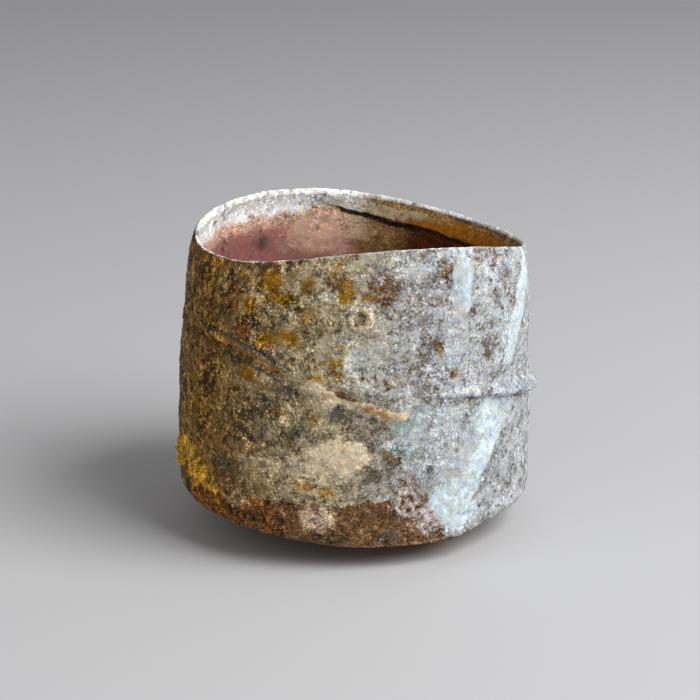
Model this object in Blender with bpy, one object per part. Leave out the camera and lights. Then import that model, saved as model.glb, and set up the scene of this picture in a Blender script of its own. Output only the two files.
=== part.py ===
"""A small hand-built, wood-fired sake cup with a wavy lip and a slanted waist seam.

The clay sections are luted together with slip, and ash glass, stone and kiln wad lie on them
as thin bodies of their own. Metres, +Z up. The foot stands on z = 0.
"""

import math

import bmesh
import bpy

SEGMENTS = 60          # steps in a full turn round the cup
JOINT_GAP = 0.0003     # slip line at a luted joint, and the bed under a skin of glass

# What changes round the cup is a mean and its lobes, each (lobes in a turn, swell, degrees of
# the fullest place). 0 degrees is +X, the right of the cup, and 90 is +Y, its back.
LIP_PLAN = (0.0284, ((1, 0.0016, 9), (2, 0.0009, 0), (3, 0.0005, 43), (4, 0.00025, 15)))
LIP_HEIGHT = (0.0551, ((1, 0.0012, -133), (2, 0.0024, -65), (3, 0.0003, 52)))
SHOULDER_PLAN = (0.0303, ((1, 0.0008, -40), (2, 0.0009, -35)))
WAIST_PLAN = (0.0318, ((1, 0.0002, 100), (2, 0.0006, 30)))
BELLY_PLAN = (0.0313, ((1, 0.0016, 114), (2, 0.0012, 17), (3, 0.0006, -4)))
BELLY_HEIGHT = (0.0086, ((1, 0.0016, -156),))
UNDER_PLAN = (0.0224, ((1, 0.0032, -61), (2, 0.0022, -61)))
SEAM_HEIGHT = (0.0320, ((1, 0.0070, -156), (3, 0.0012, -33)))

SHOULDER_DROP = 0.0045     # shoulder below the lip
WAIST_Z = 0.0270
UNDER_Z = 0.0042           # flat underside of the base
BASE_SEAM_Z = 0.0130       # base to lower wall, on the outside
SCARF_RISE = 0.0024        # a luted joint climbs this much from outside to inside
SCARF_GAP = 0.0004         # upright gap of a sloping joint, about JOINT_GAP across it

LIP_THICKNESS = 0.0022
LIP_ROUND = 0.0010         # height of the rounded lip
BELLY_THICKNESS = 0.0034
FLOOR_Z = 0.0082
FLOOR_RADIUS = 0.0150      # flat middle of the inside floor
WELL_TOP_Z = 0.0190        # where the floor's curve has become the wall

FOOT_OUTER = 0.0154
FOOT_INNER = 0.0110
FOOT_CHAMFER = 0.0004
FOOT_BATTER = 0.0005       # the ring is this much wider at its root

# Two long edges pressed into the front right of the wall, where its facets meet.
ARRIS_RISE = 0.0006
ARRIS_HALF_WIDTH = 8.0     # degrees
LOWER_ARRIS_Z = (0.0040, 0.0280)
LOWER_ARRIS_DEGREES = (-50.0, -24.0)
LOWER_ARRIS_SWEEP = 16.0   # degrees of that turn that come late, towards the seam
UPPER_ARRIS_Z = (0.0330, 0.0539)
UPPER_ARRIS_DEGREES = (-36.0, -22.0)
ARRIS_FADE = 0.0030        # the edges die away over this height at the seam

CORD_DEGREES = (-72.0, 60.0)
CORD_HALF_HEIGHT = 0.0016
CORD_PROUD = 0.0011
CORD_OVER_SEAM = 0.0013

STRIP_DEGREES = (-24.0, 108.0)
STRIP_BELOW_LIP = 0.0014
STRIP_HEIGHT = 0.0032
STRIP_THICKNESS = 0.0009

LINING_BELOW_LIP = 0.0054
LINING_THICKNESS = 0.0005

SKIN_EDGE = 0.0002         # thickness of a run, crust or scar at its edge


def turn(degrees):
    return math.radians(degrees)


def lobed(theta, mean, lobes):
    return mean + sum(swell * math.cos(count * (theta - turn(at))) for count, swell, at in lobes)


def steps(first, last, count):
    """Count + 1 even steps from first to last."""
    return [first + (last - first) * i / count for i in range(count + 1)]


def smooth_curve(x, xs, ys):
    """A smooth curve through a few points, with each slope taken from its neighbours."""
    last = len(xs) - 1
    slopes = []
    for i in range(len(xs)):
        low, high = max(i - 1, 0), min(i + 1, last)
        slopes.append((ys[high] - ys[low]) / (xs[high] - xs[low]))
    i = 0
    while i < last - 1 and x > xs[i + 1]:
        i += 1
    span = xs[i + 1] - xs[i]
    u = (x - xs[i]) / span
    start = (2 * u ** 3 - 3 * u ** 2 + 1) * ys[i] + (u ** 3 - 2 * u ** 2 + u) * span * slopes[i]
    end = (3 * u ** 2 - 2 * u ** 3) * ys[i + 1] + (u ** 3 - u ** 2) * span * slopes[i + 1]
    return start + end


def arris_rise(theta, z):
    """How far the pressed edges stand out of the wall at this place."""
    low, high = LOWER_ARRIS_Z
    if z < high:
        climb = max(z - low, 0.0) / (high - low)
        first, last = LOWER_ARRIS_DEGREES
        at = first + (last - first - LOWER_ARRIS_SWEEP) * climb + LOWER_ARRIS_SWEEP * climb ** 3
        fade = min((high + ARRIS_FADE - z) / ARRIS_FADE, 1.0)
    else:
        low, high = UPPER_ARRIS_Z
        climb = (z - low) / (high - low)
        first, last = UPPER_ARRIS_DEGREES
        at = first + (last - first) * climb
        fade = min(max((z - low) / ARRIS_FADE, 0.0), 1.0)
    away = (math.degrees(theta) - at + 180.0) % 360.0 - 180.0
    return ARRIS_RISE * fade * math.exp(-(away / ARRIS_HALF_WIDTH) ** 2)


def outer_radius(theta, z):
    """The outside of the wall: a turned-under belly, then a curve through waist and shoulder."""
    belly, belly_z = lobed(theta, *BELLY_PLAN), lobed(theta, *BELLY_HEIGHT)
    if z < belly_z:
        under = lobed(theta, *UNDER_PLAN)
        fall = (belly_z - z) / (belly_z - UNDER_Z)
        radius = under + (belly - under) * math.sqrt(max(1.0 - fall ** 2, 0.0))
    else:
        top = lobed(theta, *LIP_HEIGHT)
        heights = (belly_z, WAIST_Z, top - SHOULDER_DROP, top)
        lip = lobed(theta, *LIP_PLAN) + LIP_THICKNESS / 4
        plans = (belly, lobed(theta, *WAIST_PLAN), lobed(theta, *SHOULDER_PLAN), lip)
        radius = smooth_curve(z, heights, plans)
    return radius + arris_rise(theta, z)


def inner_radius(theta, z):
    """The inside: the wall's thickness in from the outside, rounding into the floor below."""
    foot_of_wall = max(z, WELL_TOP_Z)
    thin = (foot_of_wall - WELL_TOP_Z) / (LIP_HEIGHT[0] - WELL_TOP_Z)
    thickness = BELLY_THICKNESS + (LIP_THICKNESS - BELLY_THICKNESS) * thin
    wall = outer_radius(theta, foot_of_wall) - thickness
    if z >= WELL_TOP_Z:
        return wall
    fall = (WELL_TOP_Z - z) / (WELL_TOP_Z - FLOOR_Z)
    return FLOOR_RADIUS + (wall - FLOOR_RADIUS) * math.sqrt(max(1.0 - fall ** 2, 0.0))


def at_heights(radius_at, theta, heights):
    return [(radius_at(theta, z), z) for z in heights]


def curved_heights(flat, steep, count):
    """Heights along a quarter round, from its flat end to its steep end, at even turns."""
    return [flat + (steep - flat) * (1.0 - math.cos(a)) for a in steps(0.0, math.pi / 2, count)]


def around(profile_at, first=None, last=None):
    """The profile's points at every step round the cup, or between two angles in degrees."""
    if first is None:
        angles = [2 * math.pi * i / SEGMENTS for i in range(SEGMENTS)]
    else:
        angles = steps(turn(first), turn(last), round((last - first) / 360.0 * SEGMENTS))
    rows = []
    for theta in angles:
        rows.append([(r * math.cos(theta), r * math.sin(theta), z) for r, z in profile_at(theta)])
    return rows


def lofted(name, rows, colour, roughness, full_turn=False):
    """One closed body through a row of closed sections, joined to itself or capped at its ends."""
    mesh = bpy.data.meshes.new(name)
    bm = bmesh.new()
    loops = [[bm.verts.new(point) for point in row] for row in rows]
    pairs = list(zip(loops, loops[1:]))
    if full_turn:
        pairs.append((loops[-1], loops[0]))
    else:
        bm.faces.new(loops[0])
        bm.faces.new(loops[-1])
    for here, there in pairs:
        for i in range(len(here)):
            bm.faces.new((here[i - 1], here[i], there[i], there[i - 1]))
    bmesh.ops.remove_doubles(bm, verts=bm.verts, dist=1e-7)
    bmesh.ops.recalc_face_normals(bm, faces=bm.faces)
    bm.to_mesh(mesh)
    bm.free()
    mesh.shade_smooth()
    mesh.set_sharp_from_angle(angle=turn(40))
    material = bpy.data.materials.new(name)
    material.use_nodes = True
    shader = material.node_tree.nodes["Principled BSDF"]
    shader.inputs["Base Color"].default_value = (*colour, 1.0)
    shader.inputs["Roughness"].default_value = roughness
    shader.inputs["Metallic"].default_value = 0.0
    mesh.materials.append(material)
    piece = bpy.data.objects.new(name, mesh)
    bpy.context.collection.objects.link(piece)
    return piece


def foot_profile(theta):
    top = UNDER_Z - JOINT_GAP
    return [
        (FOOT_OUTER - FOOT_CHAMFER, 0.0),
        (FOOT_OUTER, FOOT_CHAMFER),
        (FOOT_OUTER + FOOT_BATTER, top),
        (FOOT_INNER - FOOT_BATTER, top),
        (FOOT_INNER, FOOT_CHAMFER),
        (FOOT_INNER + FOOT_CHAMFER, 0.0),
    ]


def base_profile(theta):
    belly_z = lobed(theta, *BELLY_HEIGHT)
    outside = [(0.0, UNDER_Z), (FOOT_OUTER, UNDER_Z)]
    outside += at_heights(outer_radius, theta, curved_heights(UNDER_Z, belly_z, 5))
    seam = BASE_SEAM_Z - SCARF_GAP / 2
    outside += at_heights(outer_radius, theta, [(belly_z + seam) / 2, seam])
    rise = math.acos(1.0 - (seam + SCARF_RISE - FLOOR_Z) / (WELL_TOP_Z - FLOOR_Z))
    climbs = steps(rise, 0.0, 5)
    heights = [FLOOR_Z + (WELL_TOP_Z - FLOOR_Z) * (1.0 - math.cos(a)) for a in climbs]
    return outside + at_heights(inner_radius, theta, heights) + [(0.0, FLOOR_Z)]


def lower_wall_profile(theta):
    bottom = BASE_SEAM_Z + SCARF_GAP / 2
    top = lobed(theta, *SEAM_HEIGHT) - SCARF_GAP / 2
    outside = at_heights(outer_radius, theta, steps(bottom, top, 4))
    inside = at_heights(inner_radius, theta, steps(top + SCARF_RISE, bottom + SCARF_RISE, 4))
    return outside + inside


def upper_wall_profile(theta):
    bottom = lobed(theta, *SEAM_HEIGHT) + SCARF_GAP / 2
    shoulder = lobed(theta, *LIP_HEIGHT) - LIP_ROUND
    outside = at_heights(outer_radius, theta, steps(bottom, shoulder, 6))
    outer, inner = outer_radius(theta, shoulder), inner_radius(theta, shoulder)
    middle, half = (outer + inner) / 2, (outer - inner) / 2
    lip = []
    for a in steps(0.0, math.pi, 4)[1:-1]:
        lip.append((middle + half * math.cos(a), shoulder + LIP_ROUND * math.sin(a)))
    inside = at_heights(inner_radius, theta, steps(shoulder, bottom + SCARF_RISE, 6))
    return outside + lip + inside


def end_taper(theta, span):
    """1 along a piece laid on part of the turn, falling to a fifth at its two ends."""
    along = (math.degrees(theta) - span[0]) / (span[1] - span[0])
    return max(math.sqrt(max(1.0 - (2.0 * along - 1.0) ** 4, 0.0)), 0.2)


def cord_profile(theta):
    middle = lobed(theta, *SEAM_HEIGHT) + CORD_OVER_SEAM
    taper = end_taper(theta, CORD_DEGREES)
    section = []
    for a in steps(-math.pi / 2, math.pi / 2, 6):
        z = middle + CORD_HALF_HEIGHT * taper * math.sin(a)
        proud = JOINT_GAP + SKIN_EDGE + CORD_PROUD * taper * math.cos(a)
        section.append((outer_radius(theta, z) + proud, z))
    for across in (1.0, 0.0, -1.0):
        z = middle + CORD_HALF_HEIGHT * taper * across
        section.append((outer_radius(theta, z) + JOINT_GAP, z))
    return section


def strip_profile(theta):
    top = lobed(theta, *LIP_HEIGHT) - STRIP_BELOW_LIP
    bottom = top - STRIP_HEIGHT
    taper = end_taper(theta, STRIP_DEGREES)
    back = [(r - JOINT_GAP, z) for r, z in at_heights(inner_radius, theta, steps(top, bottom, 2))]
    face = []
    for i, z in enumerate(steps(bottom, top, 4)):
        bulge = math.sin(math.pi * (i + 0.5) / 5)
        face.append((inner_radius(theta, z) - JOINT_GAP - STRIP_THICKNESS * taper * bulge, z))
    return back + face


def lining_profile(theta):
    """A skin of even thickness, bedded on the inside from below the lip down to the floor."""
    top = lobed(theta, *LIP_HEIGHT) - LINING_BELOW_LIP
    heights = steps(top, WELL_TOP_Z, 6) + curved_heights(FLOOR_Z, WELL_TOP_Z, 4)[-2::-1]
    wall = at_heights(inner_radius, theta, heights)
    bed, face = [], []
    for i, (r, z) in enumerate(wall):
        r0, z0 = wall[max(i - 1, 0)]
        r1, z1 = wall[i + 1] if i + 1 < len(wall) else (0.0, FLOOR_Z)
        length = math.hypot(r1 - r0, z1 - z0)
        inward, up = (z1 - z0) / length, (r0 - r1) / length
        for side, depth in ((bed, JOINT_GAP), (face, JOINT_GAP + LINING_THICKNESS)):
            side.append((r + inward * depth, z + up * depth))
    bed.append((0.0, FLOOR_Z + JOINT_GAP))
    face.append((0.0, FLOOR_Z + JOINT_GAP + LINING_THICKNESS))
    return bed + face[::-1]


def skin_rows(course, half_width, crown, along=8, across=6):
    """Sections of a low body that lies on the wall along a course of (degrees, height) points.

    Two or three course points make a straight or a bowed line. The body is thickest along its
    middle, thins to its edges, and is blunt at its ends.
    """
    start, bend, end = course if len(course) == 3 else (course[0], None, course[1])

    def place(u):
        if bend is None:
            return [a + (b - a) * u for a, b in zip(start, end)]
        weights = ((1 - u) ** 2, 2 * u * (1 - u), u ** 2)
        return [sum(w * p[i] for w, p in zip(weights, (start, bend, end))) for i in (0, 1)]

    rows = []
    for u in steps(0.0, 1.0, along):
        degrees, z = place(u)
        before, after = place(max(u - 0.01, 0.0)), place(min(u + 0.01, 1.0))
        radius = outer_radius(turn(degrees), z)
        run, rise = turn(after[0] - before[0]) * radius, after[1] - before[1]
        length = math.hypot(run, rise)
        end_on = max(math.sqrt(max(1.0 - (2.0 * u - 1.0) ** 2, 0.0)), 0.3)
        bed, face = [], []
        for v in steps(-1.0, 1.0, across):
            reach = half_width(u) * v
            theta = turn(degrees) + reach * rise / length / radius
            height = z - reach * run / length
            wall = outer_radius(theta, height) + JOINT_GAP
            thickness = SKIN_EDGE + crown * end_on * (1.0 - v * v)
            for side, r in ((bed, wall), (face, wall + thickness)):
                side.append((r * math.cos(theta), r * math.sin(theta), height))
        rows.append(bed + face[::-1])
    return rows


def oval(half_width):
    """Half widths that round off towards both ends."""
    return lambda u: half_width * max(math.sqrt(max(1.0 - (2.0 * u - 1.0) ** 2, 0.0)), 0.3)


def build_clay():
    bare, ashy = (0.20, 0.10, 0.06), (0.24, 0.19, 0.12)
    return [
        lofted("foot_ring", around(foot_profile), bare, 0.85, True),
        lofted("base_dish", around(base_profile), bare, 0.8, True),
        lofted("lower_wall", around(lower_wall_profile), ashy, 0.7, True),
        lofted("upper_wall", around(upper_wall_profile), (0.30, 0.26, 0.17), 0.7, True),
        lofted("waist_cord", around(cord_profile, *CORD_DEGREES), (0.38, 0.37, 0.42), 0.6),
        lofted("lip_strip", around(strip_profile, *STRIP_DEGREES), (0.42, 0.36, 0.27), 0.7),
    ]


def build_glass():
    pale = (0.56, 0.64, 0.62)
    broad = ((-36.0, 0.0262), (-55.0, 0.0180), (-51.0, 0.0058))
    edge = ((-23.0, 0.0520), (-33.5, 0.0355))
    upper = ((-52.5, 0.0558), (-56.0, 0.0435))
    return [
        lofted("inner_glaze", around(lining_profile), (0.22, 0.07, 0.05), 0.25, True),
        lofted("glaze_run_broad", skin_rows(broad, oval(0.0045), 0.0005, 10), pale, 0.35),
        lofted("glaze_run_edge", skin_rows(edge, lambda u: 0.0015, 0.0003, 10, 4), pale, 0.35),
        lofted("glaze_run_upper", skin_rows(upper, lambda u: 0.0020, 0.0003), pale, 0.4),
    ]


def build_kiln_marks():
    yellow = (0.42, 0.27, 0.08)
    high = ((-166.0, 0.0185), (-165.0, 0.0115))
    low = ((-156.0, 0.0150), (-143.0, 0.0125))
    stone = ((-87.0, 0.0491), (-87.0, 0.0447))
    scar = ((-73.0, 0.0160), (-71.0, 0.0096))
    return [
        lofted("ash_crust_high", skin_rows(high, oval(0.0026), 0.0007), yellow, 0.6),
        lofted("ash_crust_low", skin_rows(low, oval(0.0022), 0.0005), yellow, 0.6),
        lofted("stone_burst", skin_rows(stone, oval(0.0022), 0.0004), (0.60, 0.50, 0.32), 0.6),
        lofted("wad_scar", skin_rows(scar, oval(0.0023), 0.0004), (0.22, 0.13, 0.09), 0.8),
    ]


def centre_on_box(pieces, root):
    """Hang every piece on the root, with the box of them all centred over the origin."""
    corners = [vertex.co for piece in pieces for vertex in piece.data.vertices]
    for axis in (0, 1):
        values = [corner[axis] for corner in corners]
        root.location[axis] = -(min(values) + max(values)) / 2
    for piece in pieces:
        piece.parent = root


for old in list(bpy.data.objects):
    bpy.data.objects.remove(old, do_unlink=True)

cup = bpy.data.objects.new("sake_cup", None)
bpy.context.collection.objects.link(cup)
centre_on_box(build_clay() + build_glass() + build_kiln_marks(), cup)
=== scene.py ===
import math

import bmesh
import bpy
import numpy as np
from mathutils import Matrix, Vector, noise


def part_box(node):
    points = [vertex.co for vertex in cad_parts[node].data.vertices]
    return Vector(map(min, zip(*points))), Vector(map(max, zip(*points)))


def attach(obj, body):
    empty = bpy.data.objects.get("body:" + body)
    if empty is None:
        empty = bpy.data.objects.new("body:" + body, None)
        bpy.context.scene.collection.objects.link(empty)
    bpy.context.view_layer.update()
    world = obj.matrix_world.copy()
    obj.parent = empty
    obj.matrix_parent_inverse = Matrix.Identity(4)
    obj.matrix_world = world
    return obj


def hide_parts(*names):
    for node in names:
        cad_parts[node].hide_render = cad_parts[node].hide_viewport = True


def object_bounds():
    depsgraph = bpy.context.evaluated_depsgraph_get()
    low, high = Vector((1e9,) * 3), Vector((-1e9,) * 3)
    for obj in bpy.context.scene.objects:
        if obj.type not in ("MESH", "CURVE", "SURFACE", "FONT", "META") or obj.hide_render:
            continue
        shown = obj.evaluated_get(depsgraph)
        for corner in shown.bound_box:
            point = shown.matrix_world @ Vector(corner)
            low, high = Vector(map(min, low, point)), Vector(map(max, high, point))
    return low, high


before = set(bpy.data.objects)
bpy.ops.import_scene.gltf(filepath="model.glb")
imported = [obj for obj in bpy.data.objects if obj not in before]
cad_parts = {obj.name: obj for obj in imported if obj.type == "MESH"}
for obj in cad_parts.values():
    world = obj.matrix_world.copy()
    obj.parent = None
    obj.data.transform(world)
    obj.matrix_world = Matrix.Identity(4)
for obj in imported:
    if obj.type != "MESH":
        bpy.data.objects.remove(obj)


# Foot ring: a low roll of the same iron-rich clay, luted under the base and wiped flat.
# The cup stood on it in the kiln, so it stays bare and brown, with a dry, open grain.
MM = 0.001
cad_low, cad_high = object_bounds()
foot_low, foot_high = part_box("foot_ring")
AXIS = (foot_low + foot_high) / 2
FOOT_BATTER = 0.5 * MM     # the ring is this much wider at its root
FOOT_SUNK = 0.5 * MM       # its root goes this far into the base
FOOT_OUTER = (foot_high.x - foot_low.x) / 2 - FOOT_BATTER
FOOT_INNER = 11.0 * MM
FOOT_TOP = foot_high.z + FOOT_SUNK
FOOT_COLUMNS = 240
FOOT_ROUND = 0.6 * MM
BOX_MARGIN = 1e-5          # every piece stays this far inside the frame's box
WELD = 1e-7                # points nearer than this are one
SHARP_EDGE = math.radians(70.0)


def turned(radius, z, theta):
    """Points in the frame for radii and heights at angles round the cup's own axis."""
    return np.stack([AXIS.x + radius * np.cos(theta), AXIS.y + radius * np.sin(theta), z], axis=-1)


def swell(points, size, octaves=2, shift=0.0):
    """A smooth random field over points, from about -1 to 1, with bumps about this size. Each
    shift gives another field."""
    offset = Vector((shift, 1.7 * shift, -0.6 * shift))
    values = [noise.fractal(Vector(p) / size + offset, 1.0, 2.0, octaves) for p in points.reshape(-1, 3)]
    return np.array(values).reshape(points.shape[:-1])


def grid_piece(name, points, marks, close_rows=False):
    """A closed piece from rows of points round it, with its firing marks kept on the mesh."""
    points = np.clip(points, np.array(cad_low) + BOX_MARGIN, np.array(cad_high) - BOX_MARGIN)
    rows, columns = points.shape[:2]
    index = np.arange(rows * columns).reshape(rows, columns)
    index = np.hstack([index, index[:, :1]])
    if close_rows:
        index = np.vstack([index, index[:1]])
    faces = np.stack([index[:-1, :-1], index[:-1, 1:], index[1:, 1:], index[1:, :-1]], axis=-1)
    mesh = bpy.data.meshes.new(name)
    mesh.from_pydata(points.reshape(-1, 3).tolist(), [], faces.reshape(-1, 4).tolist())
    for mark_name, values in marks.items():
        kept = mesh.attributes.new(mark_name, "FLOAT", "POINT")
        kept.data.foreach_set("value", np.ascontiguousarray(values, dtype=np.float32).ravel())
    bm = bmesh.new()
    bm.from_mesh(mesh)
    bmesh.ops.remove_doubles(bm, verts=bm.verts, dist=WELD)
    bmesh.ops.recalc_face_normals(bm, faces=bm.faces)
    bm.to_mesh(mesh)
    bm.free()
    mesh.shade_smooth()
    mesh.set_sharp_from_angle(angle=SHARP_EDGE)
    piece = bpy.data.objects.new(name, mesh)
    bpy.context.collection.objects.link(piece)
    return piece


def add(tree, kind, inputs=None, **settings):
    """A node with its settings, and with its inputs set to values or linked to sockets."""
    made = tree.nodes.new(kind)
    for key, value in settings.items():
        setattr(made, key, value)
    for key, value in (inputs or {}).items():
        if isinstance(value, bpy.types.NodeSocket):
            tree.links.new(value, made.inputs[key])
        elif isinstance(value, tuple) and made.inputs[key].type == "RGBA":
            made.inputs[key].default_value = (*value, 1.0)
        else:
            made.inputs[key].default_value = value
    return made


def sum_of(tree, first, second, operation="ADD"):
    """Two values added, or put together by another operation."""
    return add(tree, "ShaderNodeMath", {0: first, 1: second}, operation=operation).outputs[0]


def stretch(tree, value, low, high, to_low=0.0, to_high=1.0, smooth=False):
    """A value mapped from one range to another, and held inside it."""
    inputs = {"Value": value, "From Min": low, "From Max": high, "To Min": to_low, "To Max": to_high}
    kind = "SMOOTHSTEP" if smooth else "LINEAR"
    return add(tree, "ShaderNodeMapRange", inputs, interpolation_type=kind).outputs[0]


def blend(tree, factor, below, above):
    """One colour at factor 0, the other at 1, and a mix between."""
    return add(tree, "ShaderNodeMix", {0: factor, 6: below, 7: above}, data_type="RGBA").outputs[2]


def new_group(name, inputs, outputs):
    """An empty shader node group with named sockets, and its two end nodes."""
    group = bpy.data.node_groups.new(name, "ShaderNodeTree")
    for label, kind in inputs:
        group.interface.new_socket(label, in_out="INPUT", socket_type=kind)
    for label, kind in outputs:
        group.interface.new_socket(label, in_out="OUTPUT", socket_type=kind)
    return group, add(group, "NodeGroupInput").outputs, add(group, "NodeGroupOutput").inputs


# Ash and fire colour the clay in drifts: a wash covers what is below it as its amount rises
# from 0 to 1, blotch by blotch, with edges from crisp to soft.
FLOAT, COLOUR = "NodeSocketFloat", "NodeSocketColor"
WASH_INPUTS = [("Below", COLOUR), ("Layer", COLOUR), ("Amount", FLOAT),
               ("Blotch", FLOAT), ("Edge", FLOAT), ("Shift", FLOAT)]
ash_wash, given, result = new_group("ash_wash", WASH_INPUTS, [("Color", COLOUR), ("Cover", FLOAT)])
STIPPLE = 0.42 * MM        # size of the specks that fray every wash
DRIFT_SHARE, STIPPLE_SHARE = 1.25, 0.75
MOST = DRIFT_SHARE + STIPPLE_SHARE     # the highest that both reach together
place = add(ash_wash, "ShaderNodeTexCoord").outputs["Object"]
place = add(ash_wash, "ShaderNodeVectorMath", {0: place, 1: given["Shift"]}, operation="ADD").outputs[0]
scale = sum_of(ash_wash, 1.0, given["Blotch"], "DIVIDE")
drift = add(ash_wash, "ShaderNodeTexNoise",
            {"Vector": place, "Scale": scale, "Detail": 5.0, "Roughness": 0.68}).outputs["Fac"]
drift = stretch(ash_wash, drift, 0.28, 0.72, 0.0, DRIFT_SHARE)
specks = add(ash_wash, "ShaderNodeTexNoise",
             {"Vector": place, "Scale": 1.0 / STIPPLE, "Detail": 2.0}).outputs["Fac"]
specks = stretch(ash_wash, specks, 0.3, 0.7, 0.0, STIPPLE_SHARE)
full = sum_of(ash_wash, given["Amount"], sum_of(ash_wash, given["Edge"], MOST), "MULTIPLY")
reach = sum_of(ash_wash, sum_of(ash_wash, sum_of(ash_wash, drift, specks), full), MOST, "SUBTRACT")
cover = stretch(ash_wash, reach, 0.0, given["Edge"], smooth=True)
ash_wash.links.new(blend(ash_wash, cover, given["Below"], given["Layer"]), result["Color"])
ash_wash.links.new(cover, result["Cover"])

# The crust of fired ash is granular: dull crystals of melted ash stand out of a darker bed,
# and iron in the clay burns through in clusters of pits.
GRAIN_INPUTS = [("Color", COLOUR), ("Size", FLOAT), ("Contrast", FLOAT), ("Iron", FLOAT), ("Crystal", FLOAT)]
GRAIN_OUTPUTS = [("Color", COLOUR), ("Height", FLOAT), ("Roughness", FLOAT)]
IRON_HALO, IRON_CORE, GLINT = (0.22, 0.120, 0.055), (0.055, 0.025, 0.010), (0.80, 0.76, 0.63)
ash_grain, given, result = new_group("ash_grain", GRAIN_INPUTS, GRAIN_OUTPUTS)
place = add(ash_grain, "ShaderNodeTexCoord").outputs["Object"]


def times(value, factor):
    return sum_of(ash_grain, value, factor, "MULTIPLY")


def speckle(size_factor, detail):
    """Random specks, from about -0.3 to 0.3, of a size that is this many grains."""
    scale = sum_of(ash_grain, 1.0, times(given["Size"], size_factor), "DIVIDE")
    inputs = {"Vector": place, "Scale": scale, "Detail": detail, "Roughness": 0.6}
    return sum_of(ash_grain, add(ash_grain, "ShaderNodeTexNoise", inputs).outputs["Fac"], 0.5, "SUBTRACT")


fine, clots, drifts = speckle(1.0, 2.0), speckle(3.4, 2.0), speckle(11.0, 3.0)
roughened = stretch(ash_grain, speckle(10.0, 2.0), 0.10, -0.10, 0.3, 1.35)
height = sum_of(ash_grain, times(fine, 0.55), times(clots, 0.9))
shading = sum_of(ash_grain, sum_of(ash_grain, times(fine, 2.6), times(clots, 2.8)), times(drifts, 2.2))
tone = sum_of(ash_grain, times(times(shading, roughened), given["Contrast"]), 1.0)
tone = sum_of(ash_grain, tone, 0.2, "MAXIMUM")
toned = add(ash_grain, "ShaderNodeVectorMath", {0: given["Color"], 3: tone}, operation="SCALE").outputs[0]
hue = speckle(1.9, 2.0)
hue = [sum_of(ash_grain, times(hue, swing), 1.0) for swing in (0.6, 0.1, -0.8)]
hue = add(ash_grain, "ShaderNodeCombineXYZ", {0: hue[0], 1: hue[1], 2: hue[2]}).outputs[0]
toned = add(ash_grain, "ShaderNodeVectorMath", {0: toned, 1: hue}, operation="MULTIPLY").outputs[0]
cluster = stretch(ash_grain, speckle(8.0, 1.0), -0.04, 0.14)
halo = sum_of(ash_grain, times(stretch(ash_grain, height, -0.03, -0.13), cluster), given["Iron"], "MULTIPLY")
toned = blend(ash_grain, halo, toned, IRON_HALO)
core = times(stretch(ash_grain, height, -0.10, -0.19), stretch(ash_grain, cluster, 0.0, 1.0, 0.35, 1.0))
toned = blend(ash_grain, times(core, given["Iron"]), toned, IRON_CORE)
# Crystals are paler, and their glint is a painted highlight: their colour is brightened and mixed towards
# GLINT.
crystal = times(stretch(ash_grain, sum_of(ash_grain, fine, times(clots, 0.3)), 0.10, 0.19), given["Crystal"])
glint = add(ash_grain, "ShaderNodeVectorMath", {0: toned, 3: 1.85}, operation="SCALE").outputs[0]
glint = blend(ash_grain, 0.20, glint, GLINT)
ash_grain.links.new(blend(ash_grain, crystal, toned, glint), result["Color"])
ash_grain.links.new(times(height, roughened), result["Height"])
ash_grain.links.new(stretch(ash_grain, height, -0.2, 0.2, 0.78, 0.42), result["Roughness"])


def finish(name, roughness, coat=0.0):
    """A new material with its shader, ready for its colour and grain."""
    material = bpy.data.materials.new(name)
    material.use_nodes = True
    shader = material.node_tree.nodes["Principled BSDF"]
    shader.inputs["Roughness"].default_value = roughness
    shader.inputs["Coat Weight"].default_value = coat
    shader.inputs["Specular IOR Level"].default_value = 0.12
    return material, material.node_tree, shader


def wash(tree, below, colour, amount, blotch, edge=0.7, shift=0.0):
    """One wash over the colour so far: blotch is the size of its drifts in metres."""
    inputs = {"Below": below, "Layer": colour, "Amount": amount,
              "Blotch": blotch, "Edge": edge, "Shift": shift}
    return add(tree, "ShaderNodeGroup", inputs, node_tree=ash_wash).outputs["Color"]


def mark(tree, name):
    """The amount of a firing mark, as kept on the mesh."""
    return add(tree, "ShaderNodeAttribute", attribute_name=name).outputs["Fac"]


def crust(tree, shader, colour, size, contrast, iron, crystal, depth, dry=True):
    """The granular surface over a finished colour: grain size and depth are in metres. A dry one
    glints on its crystals and is dull in its pits."""
    inputs = {"Color": colour, "Size": size, "Contrast": contrast, "Iron": iron, "Crystal": crystal}
    made = add(tree, "ShaderNodeGroup", inputs, node_tree=ash_grain)
    bump = add(tree, "ShaderNodeBump", {"Height": made.outputs["Height"], "Distance": depth, "Strength": 0.8})
    tree.links.new(made.outputs["Color"], shader.inputs["Base Color"])
    tree.links.new(bump.outputs[0], shader.inputs["Normal"])
    if dry:
        tree.links.new(made.outputs["Roughness"], shader.inputs["Roughness"])


bare_clay, tree, shader = finish("bare_clay", 0.85)
colour = wash(tree, (0.15, 0.080, 0.044), (0.25, 0.145, 0.085), 0.5, 2.2 * MM)
colour = wash(tree, colour, (0.075, 0.042, 0.026), 0.3, 3.0 * MM, 0.6, 1.0)
crust(tree, shader, colour, 0.4 * MM, 0.4, 0.5, 0.3, 0.3 * MM)

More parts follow.
